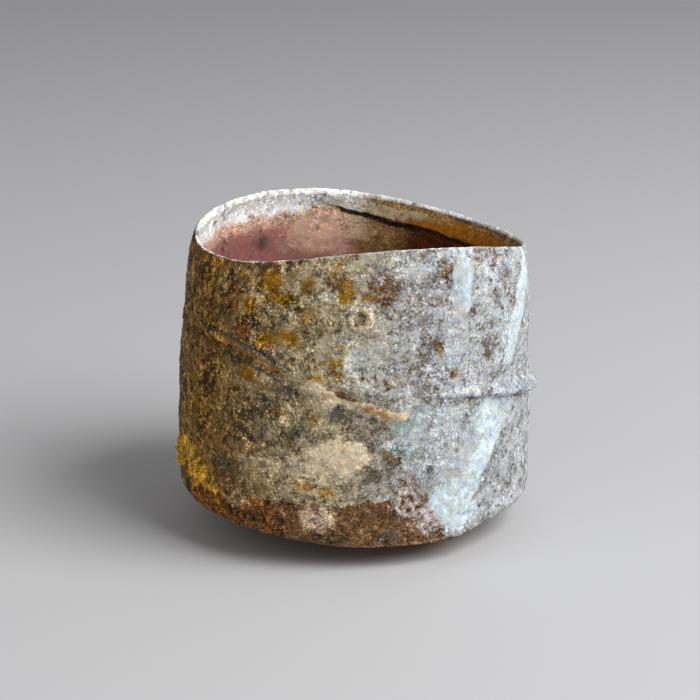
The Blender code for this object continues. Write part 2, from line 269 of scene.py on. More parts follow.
turns = np.linspace(0.0, 2 * math.pi, FOOT_COLUMNS, endpoint=False)
foot_wall = np.linspace(0.0, 1.0, 14)[:, None]
quarter = np.linspace(0.0, math.pi / 2, 7)[:, None]
outside_r = FOOT_OUTER + FOOT_BATTER * foot_wall[::-1]
outside_z = FOOT_ROUND + (FOOT_TOP - FOOT_ROUND) * foot_wall[::-1]
outer_turn_r = FOOT_OUTER - FOOT_ROUND * (1 - np.cos(quarter))
outer_turn_z = FOOT_ROUND * (1 - np.sin(quarter))
sole_r = np.linspace(FOOT_OUTER - FOOT_ROUND, FOOT_INNER + FOOT_ROUND, 12)[1:-1, None]
inner_turn_r = FOOT_INNER + FOOT_ROUND * (1 - np.sin(quarter))
inner_turn_z = FOOT_ROUND * (1 - np.cos(quarter))
inside_r = FOOT_INNER - FOOT_BATTER * foot_wall
inside_z = FOOT_ROUND + (FOOT_TOP - FOOT_ROUND) * foot_wall
foot_r = np.vstack([outside_r, outer_turn_r[1:], sole_r, inner_turn_r, inside_r[1:]])
foot_z = np.vstack([outside_z, outer_turn_z[1:], 0 * sole_r, inner_turn_z, inside_z[1:]])
foot_points = turned(foot_r + 0 * turns, foot_z + 0 * turns, turns + 0 * foot_r)
uneven = 0.14 * MM * swell(foot_points, 5 * MM) + 0.06 * MM * swell(foot_points, 1.2 * MM)
off_sole = np.minimum(foot_z / FOOT_ROUND, 1.0)
foot_points = turned(foot_r + uneven * off_sole, foot_z + 0 * turns, turns + 0 * foot_r)
foot_ring = grid_piece("foot_ring_bare", foot_points, {}, close_rows=True)
foot_ring.data.materials.append(bare_clay)
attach(foot_ring, "root")
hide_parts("foot_ring")


# Base and lower wall: a pinched dish and a band of clay luted on it and smoothed over, so the
# fire made them one. Ash from the right melted pale on them, and the left stayed smoky olive.
LIP_PLAN = (28.4 * MM, ((1, 1.6 * MM, 9), (2, 0.9 * MM, 0), (3, 0.5 * MM, 43), (4, 0.25 * MM, 15)))
LIP_HEIGHT = (55.1 * MM, ((1, 1.2 * MM, -133), (2, 2.4 * MM, -65), (3, 0.3 * MM, 52)))
SHOULDER_PLAN = (30.3 * MM, ((1, 0.8 * MM, -40), (2, 0.9 * MM, -35)))
WAIST_PLAN = (31.8 * MM, ((1, 0.2 * MM, 100), (2, 0.6 * MM, 30)))
BELLY_PLAN = (31.3 * MM, ((1, 1.6 * MM, 114), (2, 1.2 * MM, 17), (3, 0.6 * MM, -4)))
BELLY_HEIGHT = (8.6 * MM, ((1, 1.6 * MM, -156),))
UNDER_PLAN = (22.4 * MM, ((1, 3.2 * MM, -61), (2, 2.2 * MM, -61)))
SEAM_HEIGHT = (32.0 * MM, ((1, 7.0 * MM, -156), (3, 1.2 * MM, -33)))
SHOULDER_DROP = 4.5 * MM
WAIST_Z = 27.0 * MM
UNDER_Z = 4.2 * MM
LIP_THICKNESS = 2.2 * MM
BELLY_THICKNESS = 3.4 * MM
LIP_PULLED = 1.2 * MM      # the lip is pulled this much thinner on its inside
LIP_PULL_DEPTH = 6.5 * MM
WELL_TOP_Z = 19.0 * MM     # where the floor's curve has become the wall
FLOOR_Z = 8.2 * MM
FLOOR_RADIUS = 15.0 * MM
SCARF_RISE = 2.4 * MM      # a luted joint climbs this much from outside to inside
ARRIS_RISE = 0.6 * MM      # two long edges pressed into the front right, where facets meet
ARRIS_HALF_WIDTH = 8.0     # degrees
LOWER_ARRIS_Z = (4.0 * MM, 28.0 * MM)
UPPER_ARRIS_Z = (33.0 * MM, 53.9 * MM)
ARRIS_FADE = 3.0 * MM      # they die away over this height at the seam
MM_PER_DEGREE = 0.545      # along the wall
WALL_COLUMNS = 600
WALL_ROWS = 92             # in each of the two bands


def lobed(theta, mean, lobes):
    """A mean and its lobes round the cup: lobes in a turn, swell, degrees of the fullest place."""
    return mean + sum(rise * np.cos(count * (theta - math.radians(at))) for count, rise, at in lobes)


def ease(x, low, high):
    """0 below low, 1 above high, and a smooth rise between."""
    t = np.clip((x - low) / (high - low), 0.0, 1.0)
    return t * t * (3.0 - 2.0 * t)


def degrees_of(theta):
    """Degrees from -180 to 180: 0 is the right of the cup, -90 its front and 90 its back."""
    return (np.degrees(theta) + 180.0) % 360.0 - 180.0


def lower_arris(z):
    """Where the lower pressed edge runs, in degrees, at a height."""
    low, high = LOWER_ARRIS_Z
    climb = np.clip((z - low) / (high - low), 0.0, 1.0)
    return -50.0 + 10.0 * climb + 16.0 * climb ** 3


def upper_arris(z):
    """The same for the upper one."""
    low, high = UPPER_ARRIS_Z
    return -36.0 + 14.0 * (z - low) / (high - low)


def smooth_curve(x, xs, ys):
    """A smooth curve through a few points, with each slope taken from its neighbours."""
    last = len(xs) - 1
    slopes = [(ys[min(i + 1, last)] - ys[max(i - 1, 0)]) / (xs[min(i + 1, last)] - xs[max(i - 1, 0)])
              for i in range(last + 1)]
    curve = 0.0 * x
    for i in range(last):
        span = xs[i + 1] - xs[i]
        u = (x - xs[i]) / span
        start = (2 * u ** 3 - 3 * u ** 2 + 1) * ys[i] + (u ** 3 - 2 * u ** 2 + u) * span * slopes[i]
        end = (3 * u ** 2 - 2 * u ** 3) * ys[i + 1] + (u ** 3 - u ** 2) * span * slopes[i + 1]
        curve = np.where(x >= xs[i], start + end, curve) if i else start + end
    return curve


def outer_radius(theta, z):
    """The outside of the wall before its fine relief, as the frame has it."""
    belly, belly_z = lobed(theta, *BELLY_PLAN), lobed(theta, *BELLY_HEIGHT)
    under = lobed(theta, *UNDER_PLAN)
    fall = np.clip((belly_z - z) / (belly_z - UNDER_Z), 0.0, 1.0)
    turned_under = under + (belly - under) * np.sqrt(1.0 - fall ** 2)
    top = lobed(theta, *LIP_HEIGHT)
    heights = (belly_z, WAIST_Z + 0 * top, top - SHOULDER_DROP, top)
    plans = (belly, lobed(theta, *WAIST_PLAN), lobed(theta, *SHOULDER_PLAN),
             lobed(theta, *LIP_PLAN) + LIP_THICKNESS / 4)
    radius = np.where(z < belly_z, turned_under, smooth_curve(z, heights, plans))
    facing = degrees_of(theta)
    low = np.exp(-((facing - lower_arris(z)) / ARRIS_HALF_WIDTH) ** 2)
    low = low * ease(LOWER_ARRIS_Z[1] - z, -ARRIS_FADE, 0.0)
    high = np.exp(-((facing - upper_arris(z)) / ARRIS_HALF_WIDTH) ** 2)
    high = high * ease(z, UPPER_ARRIS_Z[0], UPPER_ARRIS_Z[0] + ARRIS_FADE)
    return radius + ARRIS_RISE * np.maximum(low, high)


def inner_radius(theta, z):
    """The inside of the clay, rounding into the floor."""
    wall_z = np.maximum(z, WELL_TOP_Z)
    thin = (wall_z - WELL_TOP_Z) / (LIP_HEIGHT[0] - WELL_TOP_Z)
    wall = outer_radius(theta, wall_z) - BELLY_THICKNESS - (LIP_THICKNESS - BELLY_THICKNESS) * thin
    wall = wall + LIP_PULLED * (1.0 - ease(lobed(theta, *LIP_HEIGHT) - wall_z, 0.0, LIP_PULL_DEPTH))
    fall = np.clip((WELL_TOP_Z - z) / (WELL_TOP_Z - FLOOR_Z), 0.0, 1.0)
    return np.where(z < WELL_TOP_Z, FLOOR_RADIUS + (wall - FLOOR_RADIUS) * np.sqrt(1.0 - fall ** 2), wall)


def patches(spot, *rows):
    """The strongest of several oval marks: degrees, mm up, half width, half height, amount."""
    degrees, up = spot
    strongest = 0.0 * degrees
    for at_degrees, at_up, wide, high, amount in rows:
        across = ((degrees - at_degrees + 180.0) % 360.0 - 180.0) * MM_PER_DEGREE / wide
        away = across ** 2 + ((up - at_up) / high) ** 2
        strongest = np.maximum(strongest, amount * np.exp(-0.9 * away ** 1.4))
    return strongest


def seam_course(degrees):
    """Height in mm of the line where the upper band laps the lower one, round the front."""
    return np.interp(degrees, [-150, -134, -121, -110, -100, -93, -87, -81, -74],
                     [40.4, 40.0, 38.4, 36.2, 34.4, 33.3, 32.0, 30.6, 29.2])


def torn_reach(degrees):
    """1 along the torn lap, and 0 where the seam was pressed or wiped over."""
    return ease(degrees, -108.0, -102.0) * ease(-degrees, 71.0, 76.0)


def pressed_reach(degrees):
    """1 where the lap was pressed down and left a line, to the left of the tear."""
    return ease(degrees, -160.0, -140.0) * (1.0 - ease(degrees, -117.0, -107.0))


def firing_marks(theta, z, points):
    """How much of each firing mark, and of the shade painted with them, is on the wall at these places, from
    0 to 1.
    """
    # Marks wander off their places, sideways and up, by a millimetre or so, and keep ragged edges.
    drift = 1.1 * swell(points, 4.5 * MM, 3, 3.0) + 0.45 * swell(points, 1.3 * MM, 2, 4.0)
    lift = 0.9 * swell(points, 4.5 * MM, 3, 5.0) + 0.4 * swell(points, 1.3 * MM, 2, 6.0)
    degrees = degrees_of(theta) + drift / MM_PER_DEGREE
    up = z / MM + lift
    spot = (degrees, up)
    plain = degrees_of(theta) + 0.35 * drift / MM_PER_DEGREE
    # The broad run and the facet beside it, either side of the lower pressed edge.
    above_seam = ease(up - lobed(theta, *SEAM_HEIGHT) / MM, -1.0, 1.0)
    from_right = ease(degrees, -72.0, -55.0) * (1.0 - ease(degrees, 40.0, 95.0))
    run_left = np.interp(up, [5, 9, 13, 17, 22, 29], [-51, -56, -62, -68, -74, -79])
    edge = lower_arris(z)
    run = ease(degrees - run_left, -3.0, 12.0) * ease(edge - plain, -1.0, 1.0) * (1.0 - above_seam)
    run_core = np.exp(-((plain - edge + 7.0) / 7.0) ** 2)
    facet = ease(plain - edge, -1.0, 1.0) * (1.0 - ease(degrees, 40.0, 95.0)) * (1.0 - above_seam)
    # The torn lap of the upper band, and the pressed line with its two strips to the left of it.
    over_seam = z / MM + 0.3 * lift - seam_course(plain)
    ragged = over_seam + 0.3 + 0.7 * swell(points, 1.5 * MM, 2, 46.0)
    tear = torn_reach(plain) * np.exp(-(ragged / (1.25 + 0.5 * swell(points, 3.2 * MM, 2, 47.0))) ** 4)
    line = pressed_reach(plain) * np.exp(-((over_seam + 0.5 * drift) / 0.9) ** 2) * (0.8 + 0.25 * lift)
    strips = np.exp(-((over_seam - 1.7) / 0.6) ** 2) + np.exp(-((over_seam + 1.5) / 0.6) ** 2)
    # Smoke darkens the left and the back, and the right stays cool and pale; its cool tint is partly painted
    # light, the blue of cool light from the right.
    marks = {}
    behind = degrees_of(theta) + 30.0 * swell(points, 10 * MM, 3, 48.0)
    marks["smoke"] = np.clip(ease(-degrees, 92.0, 148.0) + ease(behind, 85.0, 150.0), 0.0, 1.0)
    marks["cool"] = ease(degrees, -103.0, -66.0) * (1.0 - ease(behind, 35.0, 100.0))
    flashed = patches(
        spot, (-135, 49, 2.2, 5.4, 0.66), (-128, 43, 1.9, 1.8, 1.0), (-140, 38, 3.4, 1.8, 0.55),
        (-148, 47, 4.4, 2.8, 0.34), (-150, 33, 5.0, 1.8, 0.5), (-119, 41.5, 2.2, 1.4, 0.55))
    burnt = patches(
        spot, (-71, 39.5, 6.5, 4.0, 0.46), (-80, 52, 3.6, 3.6, 0.64), (-73, 49, 5.0, 3.4, 0.46),
        (-60.5, 54, 1.0, 2.8, 0.66), (-66, 36, 2.4, 2.4, 0.46), (-57, 35.5, 1.1, 0.9, 0.75),
        (-43, 38.8, 1.2, 1.0, 0.75), (-38, 34, 3.4, 1.4, 0.48), (-47, 55, 3.0, 1.1, 0.52),
        (-36, 52, 2.2, 1.8, 0.5), (-51, 47, 0.8, 1.2, 0.66), (-46, 43, 1.8, 1.5, 0.5),
        (-39, 55, 1.6, 1.4, 0.52), (-33, 48, 1.0, 2.0, 0.5), (-62, 50, 1.4, 2.2, 0.46),
        (-84, 53, 2.4, 2.4, 0.56), (-76, 45, 2.0, 1.2, 0.46))
    # Dark patches of soot; those under the cord at -49, -57 and -25 degrees, and the thin line at -95 degrees
    # above the torn lap, are painted shade.
    soot_and_painted_shade = patches(
        spot, (-94, 30.2, 4.4, 2.4, 0.58), (-85, 27, 5.4, 3.0, 0.52), (-83, 24, 3.4, 2.4, 0.6),
        (-90, 26, 3.4, 2.0, 0.5), (-109, 27.2, 4.4, 2.8, 0.66), (-100, 25, 3.6, 1.8, 0.5),
        (-84, 18, 3.6, 2.0, 0.6), (-135, 18, 4.8, 3.2, 0.6), (-79, 20.5, 2.2, 2.4, 0.6),
        (-152, 47, 4.0, 2.2, 0.32), (-80, 53, 3.8, 3.2, 0.40), (-84, 50, 2.6, 2.4, 0.38),
        (-49, 29.8, 2.6, 1.2, 0.55), (-57, 30.4, 2.6, 1.2, 0.6), (-25, 28.2, 2.4, 1.0, 0.6),
        (-76, 6.5, 3.6, 1.6, 0.62), (-56.5, 36.4, 1.2, 0.9, 0.6), (-42.5, 39.2, 1.0, 0.9, 0.85),
        (-47, 40.5, 2.0, 1.6, 0.6), (-105, 14.4, 3.4, 0.8, 0.5), (-88, 14.4, 6.0, 0.7, 0.45),
        (-69, 52, 2.6, 2.2, 0.4), (-111, 33.8, 5.0, 2.0, 0.62), (-117, 31, 3.6, 2.4, 0.6),
        (-66, 31.0, 3.0, 1.4, 0.5), (-95, 36.8, 3.4, 1.1, 0.5), (-122, 28, 5.0, 4.0, 0.6),
        (-117, 25.2, 4.0, 2.4, 0.58), (-113, 39.6, 6.0, 3.2, 0.46))
    # Ash settled where the fire blew from the right, and in drifts and trickles round the back.
    far = np.clip(ease(degrees, 15.0, 55.0) + ease(-degrees, 150.0, 172.0), 0.0, 1.0)
    drifted = swell(points, 15 * MM, 3, 40.0)
    trickled = swell(points * np.array([1.0, 1.0, 0.22]), 3.2 * MM, 2, 45.0)
    marks["ash"] = np.maximum.reduce([
        0.53 * from_right * above_seam, run * (0.60 + 0.3 * run_core), 0.50 * facet,
        0.18 + 0.0 * degrees, far * (0.46 * ease(drifted, 0.0, 0.7) + 0.32 * ease(trickled, 0.1, 0.6)),
        patches(spot, (-54, 51, 3.4, 7.5, 0.85), (-57, 40, 3.0, 7.0, 0.75), (-88, 38.5, 6.5, 6.0, 0.6),
                (-83, 42, 5.0, 3.0, 0.5), (-97, 43, 4.0, 3.0, 0.4),
                (-72, 25, 5.0, 5.0, 0.62), (-66, 33, 5.0, 2.0, 0.5), (-70, 55, 6.0, 2.0, 0.5),
                (-101, 50, 6.0, 5.0, 0.42), (-92, 44, 4.0, 4.0, 0.45), (-138, 49, 7.0, 7.0, 0.40)),
    ]) * (1.0 - np.maximum.reduce([0.95 * tear, 0.8 * line, 0.75 * burnt, 0.55 * soot_and_painted_shade]))
    marks["olive"] = np.maximum.reduce([
        0.31 * ease(-degrees, 82.0, 116.0) * ease(up, 15.0, 21.0),
        0.34 * ease(-degrees, 78.0, 92.0) * ease(up, 41.0, 47.0),
        patches(spot, (-119, 52, 2.8, 2.2, 0.80), (-115, 49.5, 3.4, 1.4, 0.85), (-127, 47.5, 2.4, 2.0, 0.75),
                (-112, 43, 2.8, 1.5, 0.90), (-105, 52, 2.8, 2.2, 0.68), (-96, 55, 2.2, 2.2, 0.56),
                (-93, 52, 2.0, 2.8, 0.76), (-85, 51, 2.2, 1.7, 0.62), (-105, 47, 4.0, 1.8, 0.56),
                (-96, 38.5, 1.8, 2.6, 0.75), (-94, 42, 1.6, 2.2, 0.5), (-127, 36, 2.2, 1.4, 0.85),
                (-119, 42.5, 2.6, 1.7, 0.75), (-78, 22, 2.2, 2.4, 0.7), (-104, 28.5, 3.6, 1.8, 0.55),
                (-116, 30, 3.6, 1.8, 0.55), (-63, 41, 1.4, 2.4, 0.55), (-62, 46, 1.4, 2.4, 0.5),
                (-107, 16.4, 3.4, 1.4, 0.66), (-99, 15.6, 3.0, 1.2, 0.55), (-66, 13, 1.6, 2.4, 0.55),
                (-72, 29.6, 2.4, 1.2, 0.5), (-102, 36.4, 2.4, 1.0, 0.6)),
    ])
    # The burnt hollow in the tear, the rusty band round the belly, and painted shade low on the belly at the
    # front left, carried in the burnt mark.
    hollow = np.exp(-((plain + 92.8) * MM_PER_DEGREE / 1.9) ** 2) * np.exp(-((over_seam - 0.5) / 0.65) ** 2)
    in_band = ease(-degrees, 50.0, 58.0) * ease(degrees, -172.0, -142.0)
    painted_shade_under_belly = in_band * ease(-degrees, 80.0, 98.0) * ease(8.6 - up, 0.0, 2.4)
    marks["burnt"] = np.maximum.reduce([burnt, 0.9 * hollow, 0.62 * painted_shade_under_belly])
    band_left = 0.74 + 0.14 * ease(-degrees, 98.0, 122.0)
    marks["rust"] = np.maximum.reduce([
        band_left * ease(14.2 - up, 0.0, 1.4) * in_band, 0.24 * ease(-degrees, 116.0, 138.0), flashed,
        0.5 * far * ease(-drifted, 0.0, 0.6), 1.1 * hollow])
    marks["cream"] = (1.0 - hollow) * np.maximum.reduce([
        0.95 * tear,
        patches(spot, (-94, 22.0, 6.0, 4.0, 1.0), (-101, 20, 6.0, 3.4, 0.66),
                (-130, 12.4, 3.8, 1.8, 0.55), (-101, 33.6, 3.2, 2.4, 0.85), (-103.5, 34.6, 2.4, 1.5, 0.75),
                (-98.5, 32.4, 2.4, 1.4, 0.8), (-114, 19.0, 12.0, 4.4, 0.50),
                (-146, 13, 2.2, 1.2, 0.5), (-77.5, 30.5, 3.4, 1.1, 0.85))])
    marks["lilac"] = patches(
        spot, (-61.5, 9.2, 4.2, 3.2, 0.85), (-71.5, 13, 4.6, 5.6, 0.55), (-103, 10.8, 4.4, 3.6, 0.68),
        (-56, 12.5, 2.6, 3.4, 0.6), (-88, 9.5, 8.0, 2.2, 0.16), (-116, 10.9, 7.0, 1.4, 0.36))
    marks["gold"] = patches(
        spot, (-161, 17, 5.0, 3.2, 0.85), (-152, 14.6, 5.0, 2.2, 0.8), (-143, 13, 3.4, 1.4, 0.55),
        (-146, 22, 3.0, 2.4, 0.4))
    marks["ochre"] = (1.0 - hollow) * np.maximum.reduce([
        tear * (0.30 + 0.26 * ease(plain, -92.0, -86.0) - 0.20 * ease(plain, -82.0, -77.0)), 0.95 * line,
        0.50 * torn_reach(plain) * ease(plain, -90.0, -85.0) * np.exp(-((ragged + 0.7) / 0.55) ** 2),
        2.4 * hollow * (1.0 - np.clip(1.6 * hollow, 0.0, 1.0)),
        patches(spot, (-94, 21, 2.0, 1.4, 0.4), (-57, 36.6, 2.0, 1.2, 0.5), (-101, 33.4, 3.4, 2.6, 0.42))])
    # The dark mark is partly painted shade: the far left, where the side turns from the light, and a thin
    # strip under the torn lap.
    marks["dark"] = np.maximum.reduce([
        0.72 * pressed_reach(plain) * strips, soot_and_painted_shade, 0.44 * ease(-degrees, 149.0, 162.0),
        0.66 * torn_reach(plain) * (1.0 - ease(plain, -84.0, -78.0)) * np.exp(-((ragged + 1.9) / 0.6) ** 2)])
    marks["mint"] = np.maximum(
        run * run_core * (0.45 + 0.4 * ease(-up, -18.0, -10.0)),
        patches(spot, (-54, 50, 1.8, 2.2, 0.4), (-57, 38, 1.6, 3.0, 0.4), (-55, 12, 5.0, 5.0, 0.8),
                (-52, 55.5, 2.6, 2.4, 0.5), (-50, 8.5, 4.0, 4.0, 0.75), (-19.0, 53.0, 2.0, 2.4, 0.9),
                (-40, 28.0, 3.2, 2.6, 0.8), (-43, 25.0, 3.2, 3.0, 0.7)))
    marks["teal"] = patches(
        spot, (-73, 27.8, 5.0, 1.8, 0.62), (-74, 23, 3.0, 4.0, 0.58), (-54, 50, 1.8, 1.8, 0.5),
        (-57, 38, 1.6, 3.0, 0.45), (-53, 13, 3.0, 3.0, 0.3), (-60, 21, 2.0, 1.2, 0.5),
        (-47, 21, 1.4, 3.4, 0.5))
    # No ash reached the underside, so it is plain rusty clay.
    beneath = 1.0 - ease(z / MM + 0.15 * lift, 4.3, 5.0)
    for name in marks:
        marks[name] = marks[name] * (1.0 - beneath)
    marks["rust"] = np.maximum(marks["rust"], (0.72 + 0.12 * drift) * beneath)
    marks["smoke"] = marks["smoke"] + 0.2 * beneath
    calm = np.clip(0.8 * marks["cream"] + 0.7 * marks["mint"], 0.0, 0.8)
    marks["grain"] = (0.78 + 1.5 * marks["smoke"] + 0.2 * facet) * (1.0 - calm)
    # The crystal mark also sets how much painted glint the crystals get.
    marks["crystal"] = 0.75 + 0.5 * marks["smoke"]
    marks["iron"] = (0.75 + 0.3 * marks["cool"]) * (1.0 - calm) * (1.0 - 0.65 * run) * (1.0 - 0.5 * facet)
    return marks


def pits_in(points, spacing, radius):
    """Burnt-out specks scattered in the clay: 1 at the middle of each and 0 at its edge."""
    nearest = [noise.voronoi(Vector(p) / spacing)[0][0] for p in points.reshape(-1, 3)]
    return np.clip(1.0 - np.array(nearest).reshape(points.shape[:-1]) * spacing / radius, 0.0, 1.0)


def relief(theta, z, points, marks):
    """Fine relief of the wall in metres: pinching, sandy grain, pits and the glass that hides them."""
    glassy = ease(marks["ash"], 0.75, 0.98)
    grain = 0.13 * swell(points, 1.7 * MM, 2, 8.0) + 0.10 * swell(points, 0.8 * MM, 2, 9.0)
    pits = 0.40 * ease(pits_in(points, 3.2 * MM, 0.75 * MM), 0.0, 1.0)
    uneven = 0.28 * swell(points, 13 * MM, 2, 10.0) + 0.22 * swell(points, 4.5 * MM, 2, 11.0)
    spot = (degrees_of(theta), z / MM)
    hollow = patches(
        spot, (-94.0, 34.0, 2.0, 1.0, 0.9), (-42.5, 39.2, 0.9, 0.8, 0.5), (-56.8, 36.0, 1.0, 0.9, 0.35),
        (-62.5, 9.4, 0.6, 0.6, 0.4), (-67.0, 8.6, 0.6, 0.6, 0.4), (-50.5, 45.5, 0.6, 0.6, 0.3))
    lumps = patches(
        spot, (-101, 33.6, 3.2, 2.4, 0.5), (-94, 22.0, 5.0, 3.4, 0.3), (-104, 12, 3.4, 3.0, 0.25))
    above = z / MM - seam_course(spot[0]) + 0.4 * swell(points, 2.2 * MM, 2, 16.0)
    lap = torn_reach(spot[0]) * ease(above, -1.2, 0.2) * (1.0 - ease(above, 1.5, 7.0))
    pressed = pressed_reach(spot[0])
    lap = lap + pressed * (0.45 * ease(above, -0.2, 0.9) * (1.0 - ease(above, 1.5, 6.0)))
    lap = lap - pressed * 0.55 * np.exp(-((above + 0.3) / 0.6) ** 2)
    return MM * (uneven + (grain - pits) * (1.0 - 0.7 * glassy) - hollow + lumps + lap - 0.12)


wall_turns = np.linspace(0.0, 2 * math.pi, WALL_COLUMNS, endpoint=False)
one_row = 0.0 * wall_turns
seam_z = lobed(wall_turns, *SEAM_HEIGHT)
belly_z = lobed(wall_turns, *BELLY_HEIGHT)
under_r = lobed(wall_turns, *UNDER_PLAN)
under_steps = np.linspace(0.12, 1.0, 20)[:, None]
bend = np.linspace(0.0, math.pi / 2, 24)[1:, None]
climb = np.linspace(0.0, 1.0, WALL_ROWS)[1:, None]
skin_z = np.vstack([UNDER_Z + 0 * under_steps * under_r,
                    UNDER_Z + (belly_z - UNDER_Z) * (1.0 - np.cos(bend)),
                    belly_z + (seam_z - belly_z) * climb])
skin_turns = wall_turns + 0 * skin_z
flat_rows = len(under_steps)
skin_r = np.vstack([under_r * under_steps, outer_radius(skin_turns[flat_rows:], skin_z[flat_rows:])])
flat_points = turned(skin_r, skin_z, skin_turns)
body_marks = firing_marks(skin_turns, skin_z, flat_points)
body_relief = relief(skin_turns, skin_z, flat_points, body_marks)
front = degrees_of(wall_turns)
wiped = ease(np.abs(front), 52.0, 62.0) * (1.0 - ease(front, -170.0, -155.0) * ease(-front, 50.0, 60.0))
body_relief -= 0.25 * MM * wiped * np.exp(-(seam_z - skin_z) / (0.8 * MM))
under_side = 1.0 - ease(skin_z, UNDER_Z + 0.5 * MM, UNDER_Z + 3 * MM)
body_points = turned(skin_r + body_relief * (1.0 - under_side),
                     skin_z - 0.6 * body_relief * under_side, skin_turns)
inner_steps = np.linspace(1.0, 0.0, 6)[:, None]
inner_bend = np.linspace(math.pi / 2, 0.0, 26)[1:, None]
hidden_z = np.vstack([WELL_TOP_Z + (seam_z + SCARF_RISE - WELL_TOP_Z) * inner_steps,
                      WELL_TOP_Z - (WELL_TOP_Z - FLOOR_Z) * np.cos(inner_bend) + 0 * seam_z])
hidden_turns = wall_turns + 0 * hidden_z
hidden_points = turned(inner_radius(hidden_turns, hidden_z), hidden_z, hidden_turns)
under_pole = turned(one_row, UNDER_Z + one_row, one_row)[None]
floor_pole = turned(one_row, FLOOR_Z + one_row, one_row)[None]
for name in body_marks:
    rows_inside = np.zeros((len(hidden_points) + 1, WALL_COLUMNS))
    body_marks[name] = np.vstack([body_marks[name][:1], body_marks[name], rows_inside])
lower_body = grid_piece(
    "base_and_lower_wall", np.concatenate([under_pole, body_points, hidden_points, floor_pole]), body_marks)


def ashed_colour(tree):
    """The wall's colour: grey-beige clay, smoked at the left, with every firing mark and the painted shade
    washed over it. With it comes how far the ash has fused to glass."""
    smoke, cool_side = mark(tree, "smoke"), mark(tree, "cool")
    warm = wash(tree, (0.20, 0.140, 0.056), (0.48, 0.405, 0.255), 0.56, 2.6 * MM)
    # The cool side's blue tint is partly painted light from the right.
    cool = wash(tree, (0.180, 0.165, 0.150), (0.405, 0.420, 0.430), 0.55, 3.0 * MM, 0.7, 0.2)
    smoky = wash(tree, (0.085, 0.036, 0.002), (0.32, 0.170, 0.022), 0.50, 1.4 * MM, 1.2, 0.5)
    colour = blend(tree, smoke, blend(tree, cool_side, warm, cool), smoky)
    front_rust = wash(tree, (0.070, 0.028, 0.009), (0.235, 0.125, 0.050), 0.50, 1.5 * MM, 0.7, 0.8)
    left_rust = wash(tree, (0.070, 0.020, 0.000), (0.34, 0.108, 0.000), 0.5, 1.4 * MM, 0.9, 0.8)
    olive = blend(tree, cool_side, (0.29, 0.150, 0.003), (0.17, 0.118, 0.020))
    settled = blend(tree, cool_side, (0.53, 0.545, 0.485), (0.495, 0.525, 0.535))
    layers = (  # firing mark, colour, size of its blotches in mm, softness of its edge, shift
        ("rust", blend(tree, smoke, front_rust, left_rust), 1.8, 0.7, 1.0),
        ("olive", blend(tree, smoke, olive, (0.28, 0.118, 0.000)), 1.6, 1.1, 2.0),
        # Burnt: burnt patches and the hollow, with painted shade low on the belly.
        ("burnt", wash(tree, (0.045, 0.020, 0.008), (0.235, 0.135, 0.062), 0.5, 1.1 * MM, 0.7, 2.4),
         0.9, 0.7, 2.6),
        # Dark: soot, with painted shade at the far left, under the torn lap and under the cord.
        ("dark", blend(tree, smoke, (0.104, 0.092, 0.066), (0.080, 0.055, 0.020)), 2.4, 1.0, 3.0),
        ("cream", blend(tree, smoke, (0.74, 0.61, 0.41), (0.46, 0.300, 0.130)), 2.2, 1.1, 4.0),
        ("lilac", blend(tree, cool_side, (0.60, 0.445, 0.285), (0.50, 0.420, 0.400)), 1.6, 0.9, 4.2),
        ("ochre", blend(tree, smoke, (0.46, 0.240, 0.075), (0.28, 0.140, 0.018)), 1.6, 0.8, 4.5),
        ("gold", (0.56, 0.30, 0.020), 1.6, 0.9, 4.8),
        ("ash", blend(tree, smoke, settled, (0.42, 0.340, 0.185)), 2.0, 0.7, 5.0),
        ("mint", (0.66, 0.77, 0.80), 2.4, 1.1, 5.5),
        ("teal", (0.26, 0.365, 0.350), 2.0, 0.9, 6.0))
    cover = {}
    for name, layer, blotch, edge, shift in layers:
        colour = wash(tree, colour, layer, mark(tree, name), blotch * MM, edge, shift)
        cover[name] = colour.node.outputs["Cover"]
    return colour, cover["ash"]


def calmed(tree, name, fused, share):
    """A firing mark that gives way by this share where the ash has fused to glass."""
    return sum_of(tree, mark(tree, name), stretch(tree, fused, 0.0, 1.0, 1.0, 1.0 - share), "MULTIPLY")


def wall_crust(tree, shader, colour, fused):
    """The wall's own granular surface, calmer where its ash is glass."""
    contrast, iron = calmed(tree, "grain", fused, 0.4), calmed(tree, "iron", fused, 0.5)
    crust(tree, shader, colour, WALL_GRAIN, contrast, iron, mark(tree, "crystal"), WALL_GRAIN_DEPTH)


WALL_GRAIN = 0.39 * MM
WALL_GRAIN_DEPTH = 0.32 * MM
ashed_clay, tree, shader = finish("ashed_clay", 0.55)
colour, fused = ashed_colour(tree)
wall_crust(tree, shader, colour, fused)
lower_body.data.materials.append(ashed_clay)
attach(lower_body, "root")
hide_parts("base_dish", "lower_wall")


# Upper wall: a second band, lapped over the first along the slanted seam and torn at the front.
# Its lip was pulled thin and wiped round by hand, so it waves, and the fire frosted it white.
LIP_ROUND = 1.0 * MM       # height of the rounded lip
INSIDE_SHOWN = 9.0 * MM    # the band is finely modelled this far down its inside


